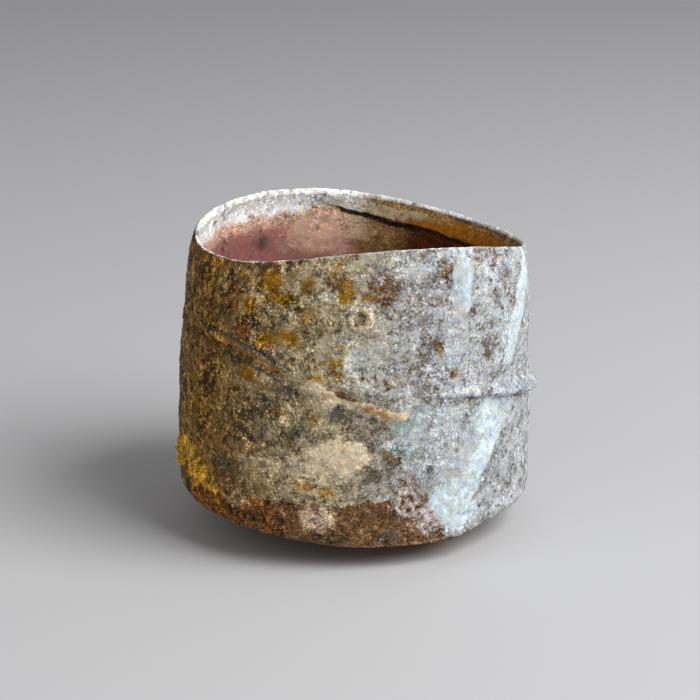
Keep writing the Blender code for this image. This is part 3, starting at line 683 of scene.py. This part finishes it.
def well_marks(theta, depth, points):
    """How the fire coloured the inside, and the shade painted on it: degrees round the back from the right,
    and mm below the lip.
    """
    wander = 1.2 * swell(points, 4 * MM, 3, 27.0) + 0.5 * swell(points, 1.2 * MM, 2, 28.0)
    angle = (np.degrees(theta) + 2.4 * wander + 360.0) % 360.0
    down = depth + 0.8 * wander
    left = ease(angle, 92.0, 132.0) * (1.0 - ease(angle, 215.0, 250.0))
    back = ease(angle, 70.0, 96.0) * (1.0 - ease(angle, 106.0, 136.0))
    right = 1.0 - ease(angle, 52.0, 86.0) + ease(angle, 265.0, 315.0)
    shallow = 1.0 - ease(down, 2.2, 7.4)
    marks = {}
    marks["frost"] = np.clip(1.15 * left, 0.0, 1.0) * shallow + 0.7 * back * (1.0 - ease(down, 1.0, 5.5))
    sooty = ease(angle, 94.0, 102.0) * (1.0 - ease(angle, 116.0, 128.0))
    marks["soot"] = 0.40 * sooty * (1.0 - ease(down, 3.0, 5.5))
    marks["tan"] = np.clip(0.8 * back * ease(down, 1.5, 5.0) * (1.0 - ease(down, 7.5, 12.0)), 0.0, 1.0)
    left_blush = 0.8 * left * (1.0 - ease(down, 5.4, 9.5))
    back_blush = 0.7 * back * ease(angle, 82.0, 96.0) * (1.0 - ease(down, 11.0, 16.0))
    marks["blush"] = np.maximum(left_blush, back_blush) * ease(down, 2.4, 5.2)
    marks["red"] = np.maximum(left * ease(down, 3.6, 8.6), back * ease(down, 6.5, 11.5) * 0.65)
    # Deep brown at the right, partly painted shade where the inside faces away from the light.
    marks["brown"] = np.clip(right, 0.0, 1.0) * ease(down, 1.5, 5.5)
    marks["deep"] = 0.85 * ease(down, 13.0, 26.0)
    from_axis = np.hypot(points[..., 0] - AXIS.x, points[..., 1] - AXIS.y) / MM
    marks["pool"] = 0.9 * (1.0 - ease(from_axis + 2.0 * wander, 10.0, 15.0)) * ease(down, 30.0, 40.0)
    marks["grain"] = 0.18 + 0.45 * (1.0 - ease(depth, 6.0, 13.0))
    marks["ember"] = 0.8 * np.exp(-((angle - 130.0) / 4.6) ** 2 - ((depth - 10.0) / 2.0) ** 2)
    # A painted shadow line under the lip strip's lower edge.
    strip_shadow_line = np.interp(angle, [18, 30, 60, 75, 93, 98, 101], [3.4, 3.7, 4.6, 5.0, 4.2, 2.8, 2.0])
    strip_shadow_reach = ease(angle, 14, 22) * (1.0 - ease(angle, 99, 103))
    marks["strip_shadow_line"] = strip_shadow_reach * np.exp(-((depth - strip_shadow_line - 0.3 * wander) / 0.55) ** 2)
    return marks


def well_colour(tree):
    """The inside's colour, from white frost at the left to deep brown at the right, that brown partly painted
    shade, with a painted shadow line under the lip strip.
    """
    colour = wash(tree, (0.18, 0.085, 0.022), (0.38, 0.24, 0.105), 0.5, 1.8 * MM, 1.2)
    layers = (  # as on the wall
        # Brown: partly painted shade at the right.
        ("brown", (0.085, 0.021, 0.002), 1.8, 1.7, 1.0),
        ("tan", (0.51, 0.385, 0.25), 1.2, 2.2, 2.0),
        ("red", (0.30, 0.125, 0.105), 1.6, 3.0, 3.0),
        ("blush", (0.60, 0.36, 0.27), 1.2, 3.0, 4.0),
        ("deep", (0.115, 0.036, 0.017), 3.0, 2.6, 4.5),
        ("pool", (0.105, 0.078, 0.022), 2.4, 1.2, 4.8),
        ("frost", (0.93, 0.925, 0.90), 0.9, 3.0, 5.0),
        ("soot", (0.30, 0.33, 0.35), 1.6, 0.7, 5.5),
        ("ember", (0.11, 0.062, 0.068), 1.6, 3.4, 6.0),
        # Painted shadow under the lip strip.
        ("strip_shadow_line", (0.030, 0.014, 0.007), 1.2, 0.6, 7.0))
    for name, layer, blotch, edge, shift in layers:
        colour = wash(tree, colour, layer, mark(tree, name), blotch * MM, edge, shift)
    return colour


lip_z = lobed(wall_turns, *LIP_HEIGHT)
rise_steps = np.linspace(0.0, 1.0, WALL_ROWS)[:, None]
outer_z = seam_z + (lip_z - LIP_ROUND - seam_z) * rise_steps
outer_turns = wall_turns + 0 * outer_z
outer_flat = turned(outer_radius(outer_turns, outer_z), outer_z, outer_turns)
upper_marks = firing_marks(outer_turns, outer_z, outer_flat)
outer_relief = relief(outer_turns, outer_z, outer_flat, upper_marks)
outer_relief += 0.15 * MM * wiped * np.exp(-(outer_z - seam_z) / (1.3 * MM))
outer_points = turned(outer_radius(outer_turns, outer_z) + outer_relief, outer_z, outer_turns)
shoulder_z = lip_z - LIP_ROUND
shoulder_out, shoulder_in = outer_radius(wall_turns, shoulder_z), inner_radius(wall_turns, shoulder_z)
over = np.linspace(0.0, math.pi, 14)[1:-1, None]
lip_r = (shoulder_out + shoulder_in) / 2 + (shoulder_out - shoulder_in) / 2 * np.cos(over)
lip_top = shoulder_z + LIP_ROUND * np.sin(over)
lip_turns = wall_turns + 0 * lip_top
lip_flat = turned(lip_r, lip_top, lip_turns)
lip_uneven = 0.16 * swell(lip_flat, 5 * MM, 2, 12.0) + 0.10 * swell(lip_flat, 1.4 * MM, 2, 13.0)
lip_uneven = MM * (lip_uneven - 0.08)
blend_out = (outer_relief[-1] * (1 + np.cos(over)) / 2) * (over < math.pi / 2)
lip_points = turned(lip_r + lip_uneven * np.cos(over) + blend_out,
                    lip_top + lip_uneven * np.sin(over), lip_turns)
down = np.linspace(0.0, 1.0, 30)[:, None]
inside_z = shoulder_z - (INSIDE_SHOWN - LIP_ROUND) * down
inside_turns = wall_turns + 0 * inside_z
inside_flat = turned(inner_radius(inside_turns, inside_z), inside_z, inside_turns)
inside_uneven = 0.18 * swell(inside_flat, 6 * MM, 2, 14.0) + 0.07 * swell(inside_flat, 1.2 * MM, 2, 15.0)
inside_points = turned(inner_radius(inside_turns, inside_z) + MM * inside_uneven, inside_z, inside_turns)
join_z = seam_z + SCARF_RISE
join_points = turned(inner_radius(wall_turns, join_z), join_z, wall_turns)[None]
upper_points = np.concatenate([outer_points, lip_points, inside_points, join_points])
within_z = np.vstack([lip_top, inside_z, join_z[None]])
within_turns = wall_turns + 0 * within_z
within_flat = np.concatenate([lip_flat, inside_flat, join_points])
within_marks = well_marks(within_turns, (lip_z - within_z) / MM, within_flat)
rim_angle = np.abs(degrees_of(within_turns))
rim_white = 0.60 + 0.35 * ease(rim_angle, 105.0, 140.0)
rim_depth = 0.75 + 0.5 * ease(rim_angle, 60.0, 110.0)
on_rim = 1.0 - ease((lip_z - within_z) / MM, 0.5 * rim_depth, 1.5 * rim_depth)
within_marks["frost"] = np.maximum(within_marks["frost"], on_rim * rim_white)
inward = np.vstack([ease(over, 0.25 * math.pi, 0.55 * math.pi) + 0 * lip_turns,
                    np.ones((len(inside_z) + 1, WALL_COLUMNS))])
for name, values in upper_marks.items():
    upper_marks[name] = np.vstack([values, np.repeat(values[-1:], len(within_z), axis=0)])
outside = upper_marks["grain"][len(outer_z):]
upper_marks["grain"][len(outer_z):] = outside + (within_marks.pop("grain") - outside) * inward
upper_marks["iron"][len(outer_z):] *= 1.0 - 0.8 * inward
for name, values in within_marks.items():
    upper_marks[name] = np.vstack([0 * outer_z, values])
upper_marks["inward"] = np.vstack([0 * outer_z, inward])
upper_wall = grid_piece("upper_wall_and_lip", upper_points, upper_marks, close_rows=True)

lip_clay, tree, shader = finish("ashed_clay_with_lip", 0.55)
inward = mark(tree, "inward")
colour, fused = ashed_colour(tree)
colour = blend(tree, inward, colour, well_colour(tree))
wall_crust(tree, shader, colour, fused)
upper_wall.data.materials.append(lip_clay)
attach(upper_wall, "root")
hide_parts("upper_wall")


# Lip strip: a thin strip of clay turned in and pressed on inside the lip at the back right.
# Its lower edge was never closed; painted shadow darkens that edge and runs as a dark line under it.
STRIP_DEGREES = (-24.0, 106.0)
STRIP_TOP = 1.2 * MM       # below the lip
STRIP_DROP = 3.3 * MM
STRIP_SUNK = 0.6 * MM      # its back goes this far into the wall
STRIP_COLUMNS = 300


def closed_loop(face, back):
    """A long body from its face and back, rows along it, with its two ends drawn to a point."""
    loop = np.concatenate([face, back])
    ends = [np.repeat(loop[:, [i]].mean(axis=0, keepdims=True), len(loop), axis=0) for i in (0, -1)]
    return np.concatenate([ends[0], loop, ends[1]], axis=1).transpose(1, 0, 2)


def loop_mark(face_values):
    """A mark on the face of such a body, carried on to its ends and its back."""
    loop = np.concatenate([face_values, face_values[::-1]])
    return np.concatenate([loop[:, :1], loop, loop[:, -1:]], axis=1).T


strip_columns = np.radians(np.linspace(*STRIP_DEGREES, STRIP_COLUMNS))
along = np.linspace(0.0, 1.0, STRIP_COLUMNS)
taper = np.sqrt(np.clip(1.0 - (2 * along - 1) ** 6, 0.0, 1.0)) * (1.0 - 0.5 * ease(along, 0.75, 1.0))
section = np.linspace(0.0, 1.0, 26)[:, None]
strip_lip = lobed(strip_columns, *LIP_HEIGHT)
strip_line = turned(inner_radius(strip_columns, strip_lip - STRIP_TOP), strip_lip, strip_columns)
wander = 0.40 * MM * swell(strip_line, 6 * MM, 2, 17.0) + 0.25 * MM * swell(strip_line, 2 * MM, 2, 18.0)
strip_z = strip_lip - STRIP_TOP - (STRIP_DROP + wander) * section * (0.4 + 0.6 * taper)
strip_turns = strip_columns + 0 * strip_z
strip_base = turned(inner_radius(strip_turns, strip_z), strip_z, strip_turns)
bulge = np.minimum(section * 3.0, 1.0) ** 0.7 * np.minimum((1.0 - section) * 7.0, 1.0) ** 0.5
strip_grain = 0.14 * swell(strip_base, 2.2 * MM, 2, 19.0) + 0.07 * swell(strip_base, 0.9 * MM, 2, 20.0)
strip_out = MM * ((0.10 + 0.80 * section) * bulge * taper - 0.15 + strip_grain)
strip_face = turned(inner_radius(strip_turns, strip_z) - strip_out, strip_z, strip_turns)
strip_back = turned(inner_radius(strip_turns, strip_z[::-1]) + STRIP_SUNK, strip_z[::-1], strip_turns)
# Painted shade: the strip darkens towards its right end and over its lower half (dusk), and its lower edge
# darkens over the undercut (edge).
shade = 1.0 - ease(np.degrees(strip_columns), 44.0, 88.0) + 0 * strip_z
lower_half = ease(section, 0.35, 0.9) + 0 * strip_z
strip_marks = {"dusk": loop_mark(np.clip(shade * (0.7 + 0.4 * lower_half) + 0.2 * lower_half, 0.0, 1.0)),
               "edge": loop_mark(ease(section, 0.88, 1.0) * (1.0 - ease(along, 0.86, 0.98))),
               "tanned": loop_mark(1.0 - ease(np.degrees(strip_columns), 70.0, 102.0) + 0 * strip_z)}
lip_strip = grid_piece("lip_strip_pressed_in", closed_loop(strip_face, strip_back), strip_marks)

strip_clay, tree, shader = finish("strip_clay", 0.6)
colour = wash(tree, (0.36, 0.31, 0.24), (0.60, 0.57, 0.50), 0.65, 2.2 * MM, 1.0)
colour = wash(tree, colour, (0.24, 0.23, 0.21), 0.25, 1.8 * MM, 0.8, 1.0)
colour = wash(tree, colour, (0.33, 0.255, 0.150), mark(tree, "tanned"), 2.0 * MM, 2.0, 2.0)
# Painted shade from dusk and its deeper part, and painted shadow along the lower edge.
colour = wash(tree, colour, (0.235, 0.082, 0.000), mark(tree, "dusk"), 2.4 * MM, 2.0, 3.0)
deeper_painted_shade = sum_of(tree, mark(tree, "dusk"), 0.42, "MULTIPLY")
colour = wash(tree, colour, (0.085, 0.038, 0.008), deeper_painted_shade, 1.6 * MM, 1.0, 3.5)
colour = wash(tree, colour, (0.035, 0.017, 0.008), mark(tree, "edge"), 1.2 * MM, 0.6, 4.0)
crust(tree, shader, colour, 0.4 * MM, 0.4, 0.4, 0.3, 0.25 * MM)
lip_strip.data.materials.append(strip_clay)
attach(lip_strip, "root")
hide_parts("lip_strip")


# Waist cord: a thin roll of clay pressed over the seam at the right, lapping both bands.
# Its lower side stayed steep, and ash frosted its crest lilac grey.
CORD_DEGREES = (-72.0, 60.0)
CORD_HALF_HEIGHT = 1.7 * MM
CORD_OVER_SEAM = 1.3 * MM
CORD_SUNK = 1.0 * MM       # its back goes this far into the wall
CORD_CREST = -0.2          # the fullest line, a little below the middle of -1 to 1
CORD_COLUMNS = 400
cord_columns = np.radians(np.linspace(*CORD_DEGREES, CORD_COLUMNS))
along = np.linspace(0.0, 1.0, CORD_COLUMNS)
taper = np.sqrt(np.clip(1.0 - (2 * along - 1) ** 4, 0.0, 1.0)) * (0.4 + 0.6 * ease(along, 0.03, 0.3))
cord_middle = lobed(cord_columns, *SEAM_HEIGHT) + CORD_OVER_SEAM
cord_line = turned(outer_radius(cord_columns, cord_middle), cord_middle, cord_columns)
cord_middle = cord_middle + 0.3 * MM * swell(cord_line, 5 * MM, 2, 21.0)
fullness = taper * (1.0 + 0.35 * swell(cord_line, 4 * MM, 2, 22.0))
roll = np.linspace(-1.0, 1.0, 30)[:, None]
cord_z = cord_middle + CORD_HALF_HEIGHT * roll * (0.5 + 0.5 * taper)
cord_turns = cord_columns + 0 * cord_z
cord_flat = turned(outer_radius(cord_turns, cord_z), cord_z, cord_turns)
below_crest = roll < CORD_CREST
side = (roll - CORD_CREST) / np.where(below_crest, 1.0 + CORD_CREST, 1.0 - CORD_CREST)
crest = np.clip(1.0 - np.abs(side) ** np.where(below_crest, 2.2, 1.3), 0.0, 1.0) * fullness
cord_grain = 0.16 * swell(cord_flat, 1.7 * MM, 2, 23.0) + 0.11 * swell(cord_flat, 0.8 * MM, 2, 24.0)
cord_out = MM * (1.85 * crest - 0.40 + cord_grain)
cord_face = turned(outer_radius(cord_turns, cord_z) + cord_out, cord_z, cord_turns)
cord_back = turned(outer_radius(cord_turns, cord_z[::-1]) - CORD_SUNK, cord_z[::-1], cord_turns)
cord_marks = firing_marks(cord_turns, cord_z, cord_flat)
cord_marks = {name: loop_mark(values) for name, values in cord_marks.items()}
cord_marks["crest"] = loop_mark(ease(crest, 0.25, 0.8))
waist_cord = grid_piece("waist_cord_roll", closed_loop(cord_face, cord_back), cord_marks)

cord_clay, tree, shader = finish("cord_clay", 0.55)
colour = wash(tree, ashed_colour(tree)[0], (0.40, 0.425, 0.475), mark(tree, "crest"), 1.8 * MM, 1.0, 8.0)
crust(tree, shader, colour, WALL_GRAIN, 0.8, 0.8, 0.8, WALL_GRAIN_DEPTH)
waist_cord.data.materials.append(cord_clay)
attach(waist_cord, "root")
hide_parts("waist_cord")


# Well glaze: ash and embers that fell in melted to a glassy skin over the inside. It is red where the clay
# flashed at the left, ochre at the back and deep brown at the right, that brown partly painted shade; a
# painted shadow line runs under the lip strip.
LINING_BELOW_LIP = 5.2 * MM
LINING_LIFT = 0.55 * MM
LINING_SUNK = 0.5 * MM     # its bed goes this far into the clay
LINING_COLUMNS = 400
lining_turns = np.linspace(0.0, 2 * math.pi, LINING_COLUMNS, endpoint=False)
lining_top = lobed(lining_turns, *LIP_HEIGHT) - LINING_BELOW_LIP
fall_steps = np.linspace(0.0, 1.0, 84)[:, None]
curve = np.linspace(math.pi / 2, 0.0, 26)[1:, None]
floor_steps = np.linspace(1.0, 0.0, 14)[1:, None]
well_z = np.vstack([lining_top + (WELL_TOP_Z - lining_top) * fall_steps,
                    WELL_TOP_Z - (WELL_TOP_Z - FLOOR_Z) * np.cos(curve) + 0 * lining_top])
well_r = inner_radius(lining_turns + 0 * well_z, well_z)
well_r = np.vstack([well_r, FLOOR_RADIUS * floor_steps + 0 * lining_turns])
well_z = np.vstack([well_z, FLOOR_Z + 0 * floor_steps * lining_turns])
well_turns = lining_turns + 0 * well_z
well_flat = turned(well_r, well_z, well_turns)
ripples = MM * (0.14 * swell(well_flat, 6 * MM, 2, 25.0) + 0.05 * swell(well_flat, 1.6 * MM, 2, 26.0))
top_edge = np.clip((lining_top - well_z) / (4.0 * MM), 0.0, 1.0)
lift = LINING_LIFT * (1.6 * top_edge ** 0.7 - 0.6) + ripples * top_edge
steep = ease(well_z, FLOOR_Z, WELL_TOP_Z)
well_points = turned(np.maximum(well_r - lift * steep, 0.0), well_z + lift * (1.0 - steep), well_turns)
bed_rows = np.linspace(len(well_z) - 1, 0, 14).astype(int)
bed_r = np.where(well_r > 0, well_r + LINING_SUNK * steep, 0.0)
bed_points = turned(bed_r, well_z - LINING_SUNK * (1 - steep), well_turns)
glaze_marks = well_marks(well_turns, (lobed(well_turns, *LIP_HEIGHT) - well_z) / MM, well_flat)
for name, values in glaze_marks.items():
    glaze_marks[name] = np.vstack([values, values[bed_rows]])
inner_glaze = grid_piece(
    "well_glaze_skin", np.concatenate([well_points, bed_points[bed_rows]]), glaze_marks, close_rows=True)

well_glaze, tree, shader = finish("well_glaze", 0.32, 0.25)
crust(tree, shader, well_colour(tree), 0.4 * MM, mark(tree, "grain"), 0.1, 0.2, 0.10 * MM, dry=False)
inner_glaze.data.materials.append(well_glaze)
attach(inner_glaze, "root")
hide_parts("inner_glaze")


# Glaze runs: ash glass that pooled and ran down the pressed edges, pale blue-white and satin.
# The broad one starts under the cord, the edge one follows the upper arris, and a short one
# hangs under the lip.
LAID_SUNK = 0.6 * MM       # what lies on the wall has its bed this far into it
BED_STEP = 4               # and one ring in the bed for this many on its face


def laid_on_wall(name, course, half_width, lift_at, rings=26, columns=200, ragged=0.12, shift=30.0,
                 soft_left=0.0, soft_end=0.0, bare_to_full=(-0.1, 0.15), fullness=1.0, core=(0.4, 0.65)):
    """A low body on the wall down a course of (degrees, mm up): lift_at gives its height in mm
    from 0 at its middle to 1 at its edge, and it sinks into the wall all round. Its colour comes
    in between two heights, and can die away to its left and to its lower end. A fullness below
    1 squares its ends, and its core ends between two shares of its spread."""
    course_degrees, course_up = np.array(course).T
    stations = np.linspace(0.0, 1.0, len(course))
    spin = np.linspace(0.0, 2 * math.pi, columns, endpoint=False)
    spread = np.linspace(0.0, 1.0, rings)[:, None]
    circle = [Vector((2.2 * math.cos(a), 2.2 * math.sin(a), shift)) for a in spin]
    ragged_spread = spread * (1.0 + ragged * np.array([noise.fractal(p, 1.0, 2.0, 3) for p in circle]))
    to_end, to_side = [np.sign(x) * np.abs(x) ** fullness for x in (np.cos(spin), np.sin(spin))]
    u = 0.5 + 0.5 * ragged_spread * to_end
    across = ragged_spread * to_side * np.interp(u, np.linspace(0.0, 1.0, len(half_width)), half_width)
    within = np.clip(u, 0.0, 1.0)
    ahead, behind = np.minimum(within + 0.02, 1.0), np.maximum(within - 0.02, 0.0)
    run = np.interp(ahead, stations, course_degrees) - np.interp(behind, stations, course_degrees)
    run = run * MM_PER_DEGREE
    rise = np.interp(ahead, stations, course_up) - np.interp(behind, stations, course_up)
    length = np.hypot(run, rise)
    theta = np.radians(np.interp(u, stations, course_degrees) + across * rise / length / MM_PER_DEGREE)
    z = (np.interp(u, stations, course_up) - across * run / length) * MM
    flat = turned(outer_radius(theta, z), z, theta)
    marks = firing_marks(theta, z, flat)
    wall = outer_radius(theta, z) + relief(theta, z, flat, marks)
    lift = lift_at(spread + 0 * spin, spin, flat)
    face = turned(wall + lift * MM, z, theta)
    bed = turned(wall - LAID_SUNK, z, theta)[::BED_STEP][::-1]
    to_left = ease(ragged_spread * np.sin(spin), -0.5, 1.0)
    kept = (1.0 - soft_left * to_left) * (1.0 - soft_end * ease(u, 0.45, 1.0))
    marks["thick"] = ease(lift, *bare_to_full) * kept
    marks["core"] = 1.0 - ease(spread + 0 * spin, *core)
    marks = {key: np.vstack([values, values[::BED_STEP][::-1]]) for key, values in marks.items()}
    return grid_piece(name, np.concatenate([face, bed]), marks)


def run_lift(crown):
    """A glass run: full in its middle, with rounded, sinking edges and a few soft pocks."""
    def lift_at(spread, spin, flat):
        soft = 0.10 * swell(flat, 2.5 * MM, 2, 31.0) + 0.06 * swell(flat, 0.9 * MM, 2, 32.0)
        return crown * (1.0 - spread ** 3) + soft - 0.25 * spread ** 6
    return lift_at


ash_glass, tree, shader = finish("ash_glass", 0.45, 0.1)
pale = wash(tree, (0.45, 0.525, 0.54), (0.66, 0.76, 0.79), 0.62, 2.4 * MM, 1.2)
pale = wash(tree, pale, (0.34, 0.43, 0.42), 0.2, 2.4 * MM, 1.0, 1.0)
colour = wash(tree, ashed_colour(tree)[0], pale, mark(tree, "thick"), 1.6 * MM, 1.0, 9.0)
crust(tree, shader, colour, WALL_GRAIN, 0.3, 0.15, 0.35, 0.15 * MM)
broad_course = [(-33, 27.2), (-41, 23), (-47, 18.5), (-52, 13.5), (-54, 9), (-52, 5.2)]
edge_course = [(-20.5, 54.0), (-26.3, 47.5), (-30.2, 41.5), (-35.0, 32.6)]
upper_course = [(-52.5, 56.8), (-54.5, 50.0), (-56.5, 42.0)]
broad_run = laid_on_wall("broad_glaze_run", broad_course, (2.6, 3.8, 4.6, 4.8, 4.2, 2.6), run_lift(0.30),
                         ragged=0.2, soft_left=0.9)
edge_run = laid_on_wall("edge_glaze_run", edge_course, (1.9, 2.2, 2.5, 3.0), run_lift(0.30), 16, 180, 0.1,
                        fullness=0.6)
upper_run = laid_on_wall("upper_glaze_run", upper_course, (1.8, 2.1, 1.8), run_lift(0.16), 18, 160, 0.3, 33.0,
                         soft_left=0.8, soft_end=0.95, bare_to_full=(-0.1, 0.32), fullness=0.7)
runs = {"glaze_run_broad": broad_run, "glaze_run_edge": edge_run, "glaze_run_upper": upper_run}
for node_name, run_piece in runs.items():
    run_piece.data.materials.append(ash_glass)
    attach(run_piece, "root")
    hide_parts(node_name)


# Ash crusts: clots of half-melted ash that stuck low on the left of the wall in the fire. They
# are rough and mustard yellow, and fused to the clay.
def crust_lift(crown):
    """A clot of ash: lumpy all over, and thin at its edge."""
    def lift_at(spread, spin, flat):
        lumps = 0.8 * swell(flat, 1.9 * MM, 2, 33.0) + 0.3 * swell(flat, 0.8 * MM, 2, 34.0)
        return (crown + lumps) * (1.0 - spread ** 3) - 0.3 * spread ** 6
    return lift_at


ash_crust, tree, shader = finish("ash_crust", 0.5)
yellow = wash(tree, (0.48, 0.235, 0.008), (0.82, 0.455, 0.040), 0.55, 1.6 * MM, 0.9)
yellow = wash(tree, yellow, (0.80, 0.60, 0.26), 0.30, 1.0 * MM, 0.9, 0.6)
yellow = wash(tree, yellow, (0.12, 0.055, 0.008), 0.34, 1.2 * MM, 0.7, 1.0)
colour = wash(tree, ashed_colour(tree)[0], yellow, mark(tree, "thick"), 1.6 * MM, 0.9, 9.0)
crust(tree, shader, colour, WALL_GRAIN, 0.8, 0.4, 0.7, 0.4 * MM)
high_course = [(-166, 20.0), (-165.5, 15), (-164.5, 10.6)]
low_course = [(-159, 16.2), (-150, 14.0), (-141, 12.0)]
high_crust = laid_on_wall("high_ash_crust", high_course, (3.0, 3.2, 2.6), crust_lift(0.6), 26, 140, 0.2, 41.0,
                          bare_to_full=(0.12, 0.75))
low_crust = laid_on_wall("low_ash_crust", low_course, (2.6, 3.0, 2.0), crust_lift(0.45), 24, 130, 0.2, 42.0,
                         bare_to_full=(0.12, 0.70))
crusts = {"ash_crust_high": high_crust, "ash_crust_low": low_crust}
for node_name, clot in crusts.items():
    clot.data.materials.append(ash_crust)
    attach(clot, "root")
    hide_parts(node_name)


# Stone burst: a feldspar pebble in the clay swelled in the fire and broke the wall open. It
# left a pale ring of melted stone round a brown hollow.
def burst_lift(spread, spin, flat):
    """A bead of melted stone with a crater a little up and left of its middle."""
    right, up = -spread * np.sin(spin), -spread * np.cos(spin)
    crater = np.exp(-(((right + 0.12) ** 2 + (up - 0.12) ** 2) / 0.20) ** 1.5)
    bead = 0.75 * (1.0 - ease(spread, 0.55, 0.98)) * (1.0 + 0.5 * swell(flat, 1.3 * MM, 2, 35.0))
    return np.maximum(bead - 0.85 * crater, 0.08) - 0.4 * spread ** 8


stone_course = [(-88, 49.6), (-88, 44.2)]
stone_burst = laid_on_wall("feldspar_burst", stone_course, (2.7, 2.7), burst_lift, 30, 130, 0.16, 43.0,
                           bare_to_full=(0.15, 0.40), core=(0.5, 0.75))
feldspar, tree, shader = finish("feldspar", 0.5)
stone = wash(tree, (0.40, 0.28, 0.13), (0.66, 0.56, 0.36), 0.6, 1.2 * MM, 1.0)
bed = wash(tree, (0.090, 0.042, 0.018), (0.38, 0.29, 0.21), 0.52, 1.2 * MM, 0.8, 1.0)
bed = blend(tree, mark(tree, "core"), ashed_colour(tree)[0], bed)
colour = wash(tree, bed, stone, mark(tree, "thick"), 0.8 * MM, 0.9, 2.0)
crust(tree, shader, colour, WALL_GRAIN, 0.5, 0.4, 0.5, 0.2 * MM)
stone_burst.data.materials.append(feldspar)
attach(stone_burst, "root")
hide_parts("stone_burst")


# Wad scar: where a pad of wad clay held the cup in the kiln and was broken off, leaving a low
# oval rim round a rough brown patch.
def scar_lift(spread, spin, flat):
    """A crumbled pad with a low rim."""
    crumbs = swell(flat, 1.5 * MM, 2, 36.0)
    rim = 0.30 * np.exp(-((spread - 0.66 - 0.15 * crumbs) / 0.22) ** 2)
    pad = 0.26 + 0.55 * crumbs + 0.45 * swell(flat, 0.9 * MM, 2, 37.0) + rim
    return np.maximum(pad * (1.0 - ease(spread, 0.62, 0.97)), 0.06) - 0.4 * spread ** 8


scar_course = [(-73.5, 16.8), (-70.8, 8.8)]
wad_scar = laid_on_wall("wad_clay_scar", scar_course, (2.9, 2.9), scar_lift, 30, 140, 0.14, 44.0,
                        bare_to_full=(0.12, 0.50), core=(0.55, 0.85))
wad_clay, tree, shader = finish("wad_clay", 0.75)
rim = wash(tree, (0.32, 0.24, 0.195), (0.54, 0.46, 0.41), 0.6, 1.4 * MM, 0.9)
bed = wash(tree, (0.11, 0.048, 0.026), (0.24, 0.145, 0.095), 0.5, 1.6 * MM, 0.9, 1.0)
bed = blend(tree, mark(tree, "core"), ashed_colour(tree)[0], bed)
colour = wash(tree, bed, rim, mark(tree, "thick"), 0.9 * MM, 0.8, 2.0)
crust(tree, shader, colour, WALL_GRAIN, 0.6, 0.7, 0.6, 0.28 * MM)
wad_scar.data.materials.append(wad_clay)
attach(wad_scar, "root")
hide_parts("wad_scar")


# Stage: a plain pale floor, one broad soft lamp from the upper right, a weak fill from the
# left, and the camera at the height and distance of the view that the cup is known from.
FLOOR_HALF = 4.0
LAMP_AIM = Vector((0.0, 0.0, 0.03))
corners = [(x * FLOOR_HALF, y * FLOOR_HALF, 0.0) for x, y in ((-1, -1), (1, -1), (1, 1), (-1, 1))]
floor_mesh = bpy.data.meshes.new("studio_floor")
floor_mesh.from_pydata(corners, [], [(0, 1, 2, 3)])
studio_floor = bpy.data.objects.new("studio_floor", floor_mesh)
bpy.context.collection.objects.link(studio_floor)
pale_floor, tree, shader = finish("pale_floor", 0.9)
shader.inputs["Base Color"].default_value = (0.62, 0.62, 0.63, 1.0)
floor_mesh.materials.append(pale_floor)


def soft_lamp(name, place, size, watts):
    """A square lamp of this size at a place, turned to the cup."""
    lamp = bpy.data.lights.new(name, "AREA")
    lamp.size = size
    lamp.energy = watts
    holder = bpy.data.objects.new(name, lamp)
    holder.location = place
    holder.rotation_euler = (LAMP_AIM - Vector(place)).to_track_quat("-Z", "Y").to_euler()
    bpy.context.collection.objects.link(holder)


soft_lamp("key_lamp", (0.50, -0.32, 0.60), 0.6, 7.6)
soft_lamp("fill_lamp", (-0.7, -0.5, 0.5), 0.8, 0.6)
world = bpy.data.worlds.new("studio")
world.use_nodes = True
world.node_tree.nodes["Background"].inputs["Color"].default_value = (0.8, 0.8, 0.82, 1.0)
world.node_tree.nodes["Background"].inputs["Strength"].default_value = 0.32
bpy.context.scene.world = world
bpy.context.scene.view_settings.view_transform = "Standard"

ELEVATION = math.radians(17.0)
DISTANCE = 0.400
LENS = 112.6
aim = Vector((AXIS.x - 0.8 * MM, AXIS.y, 32.2 * MM))
camera = bpy.data.objects.new("camera", bpy.data.cameras.new("camera"))
camera.data.lens = LENS
camera.data.sensor_width = 36.0
camera.data.clip_start = 0.01
camera.location = aim + DISTANCE * Vector((0.0, -math.cos(ELEVATION), math.sin(ELEVATION)))
camera.rotation_euler = (math.pi / 2 - ELEVATION, 0.0, 0.0)
bpy.context.collection.objects.link(camera)
bpy.context.scene.camera = camera
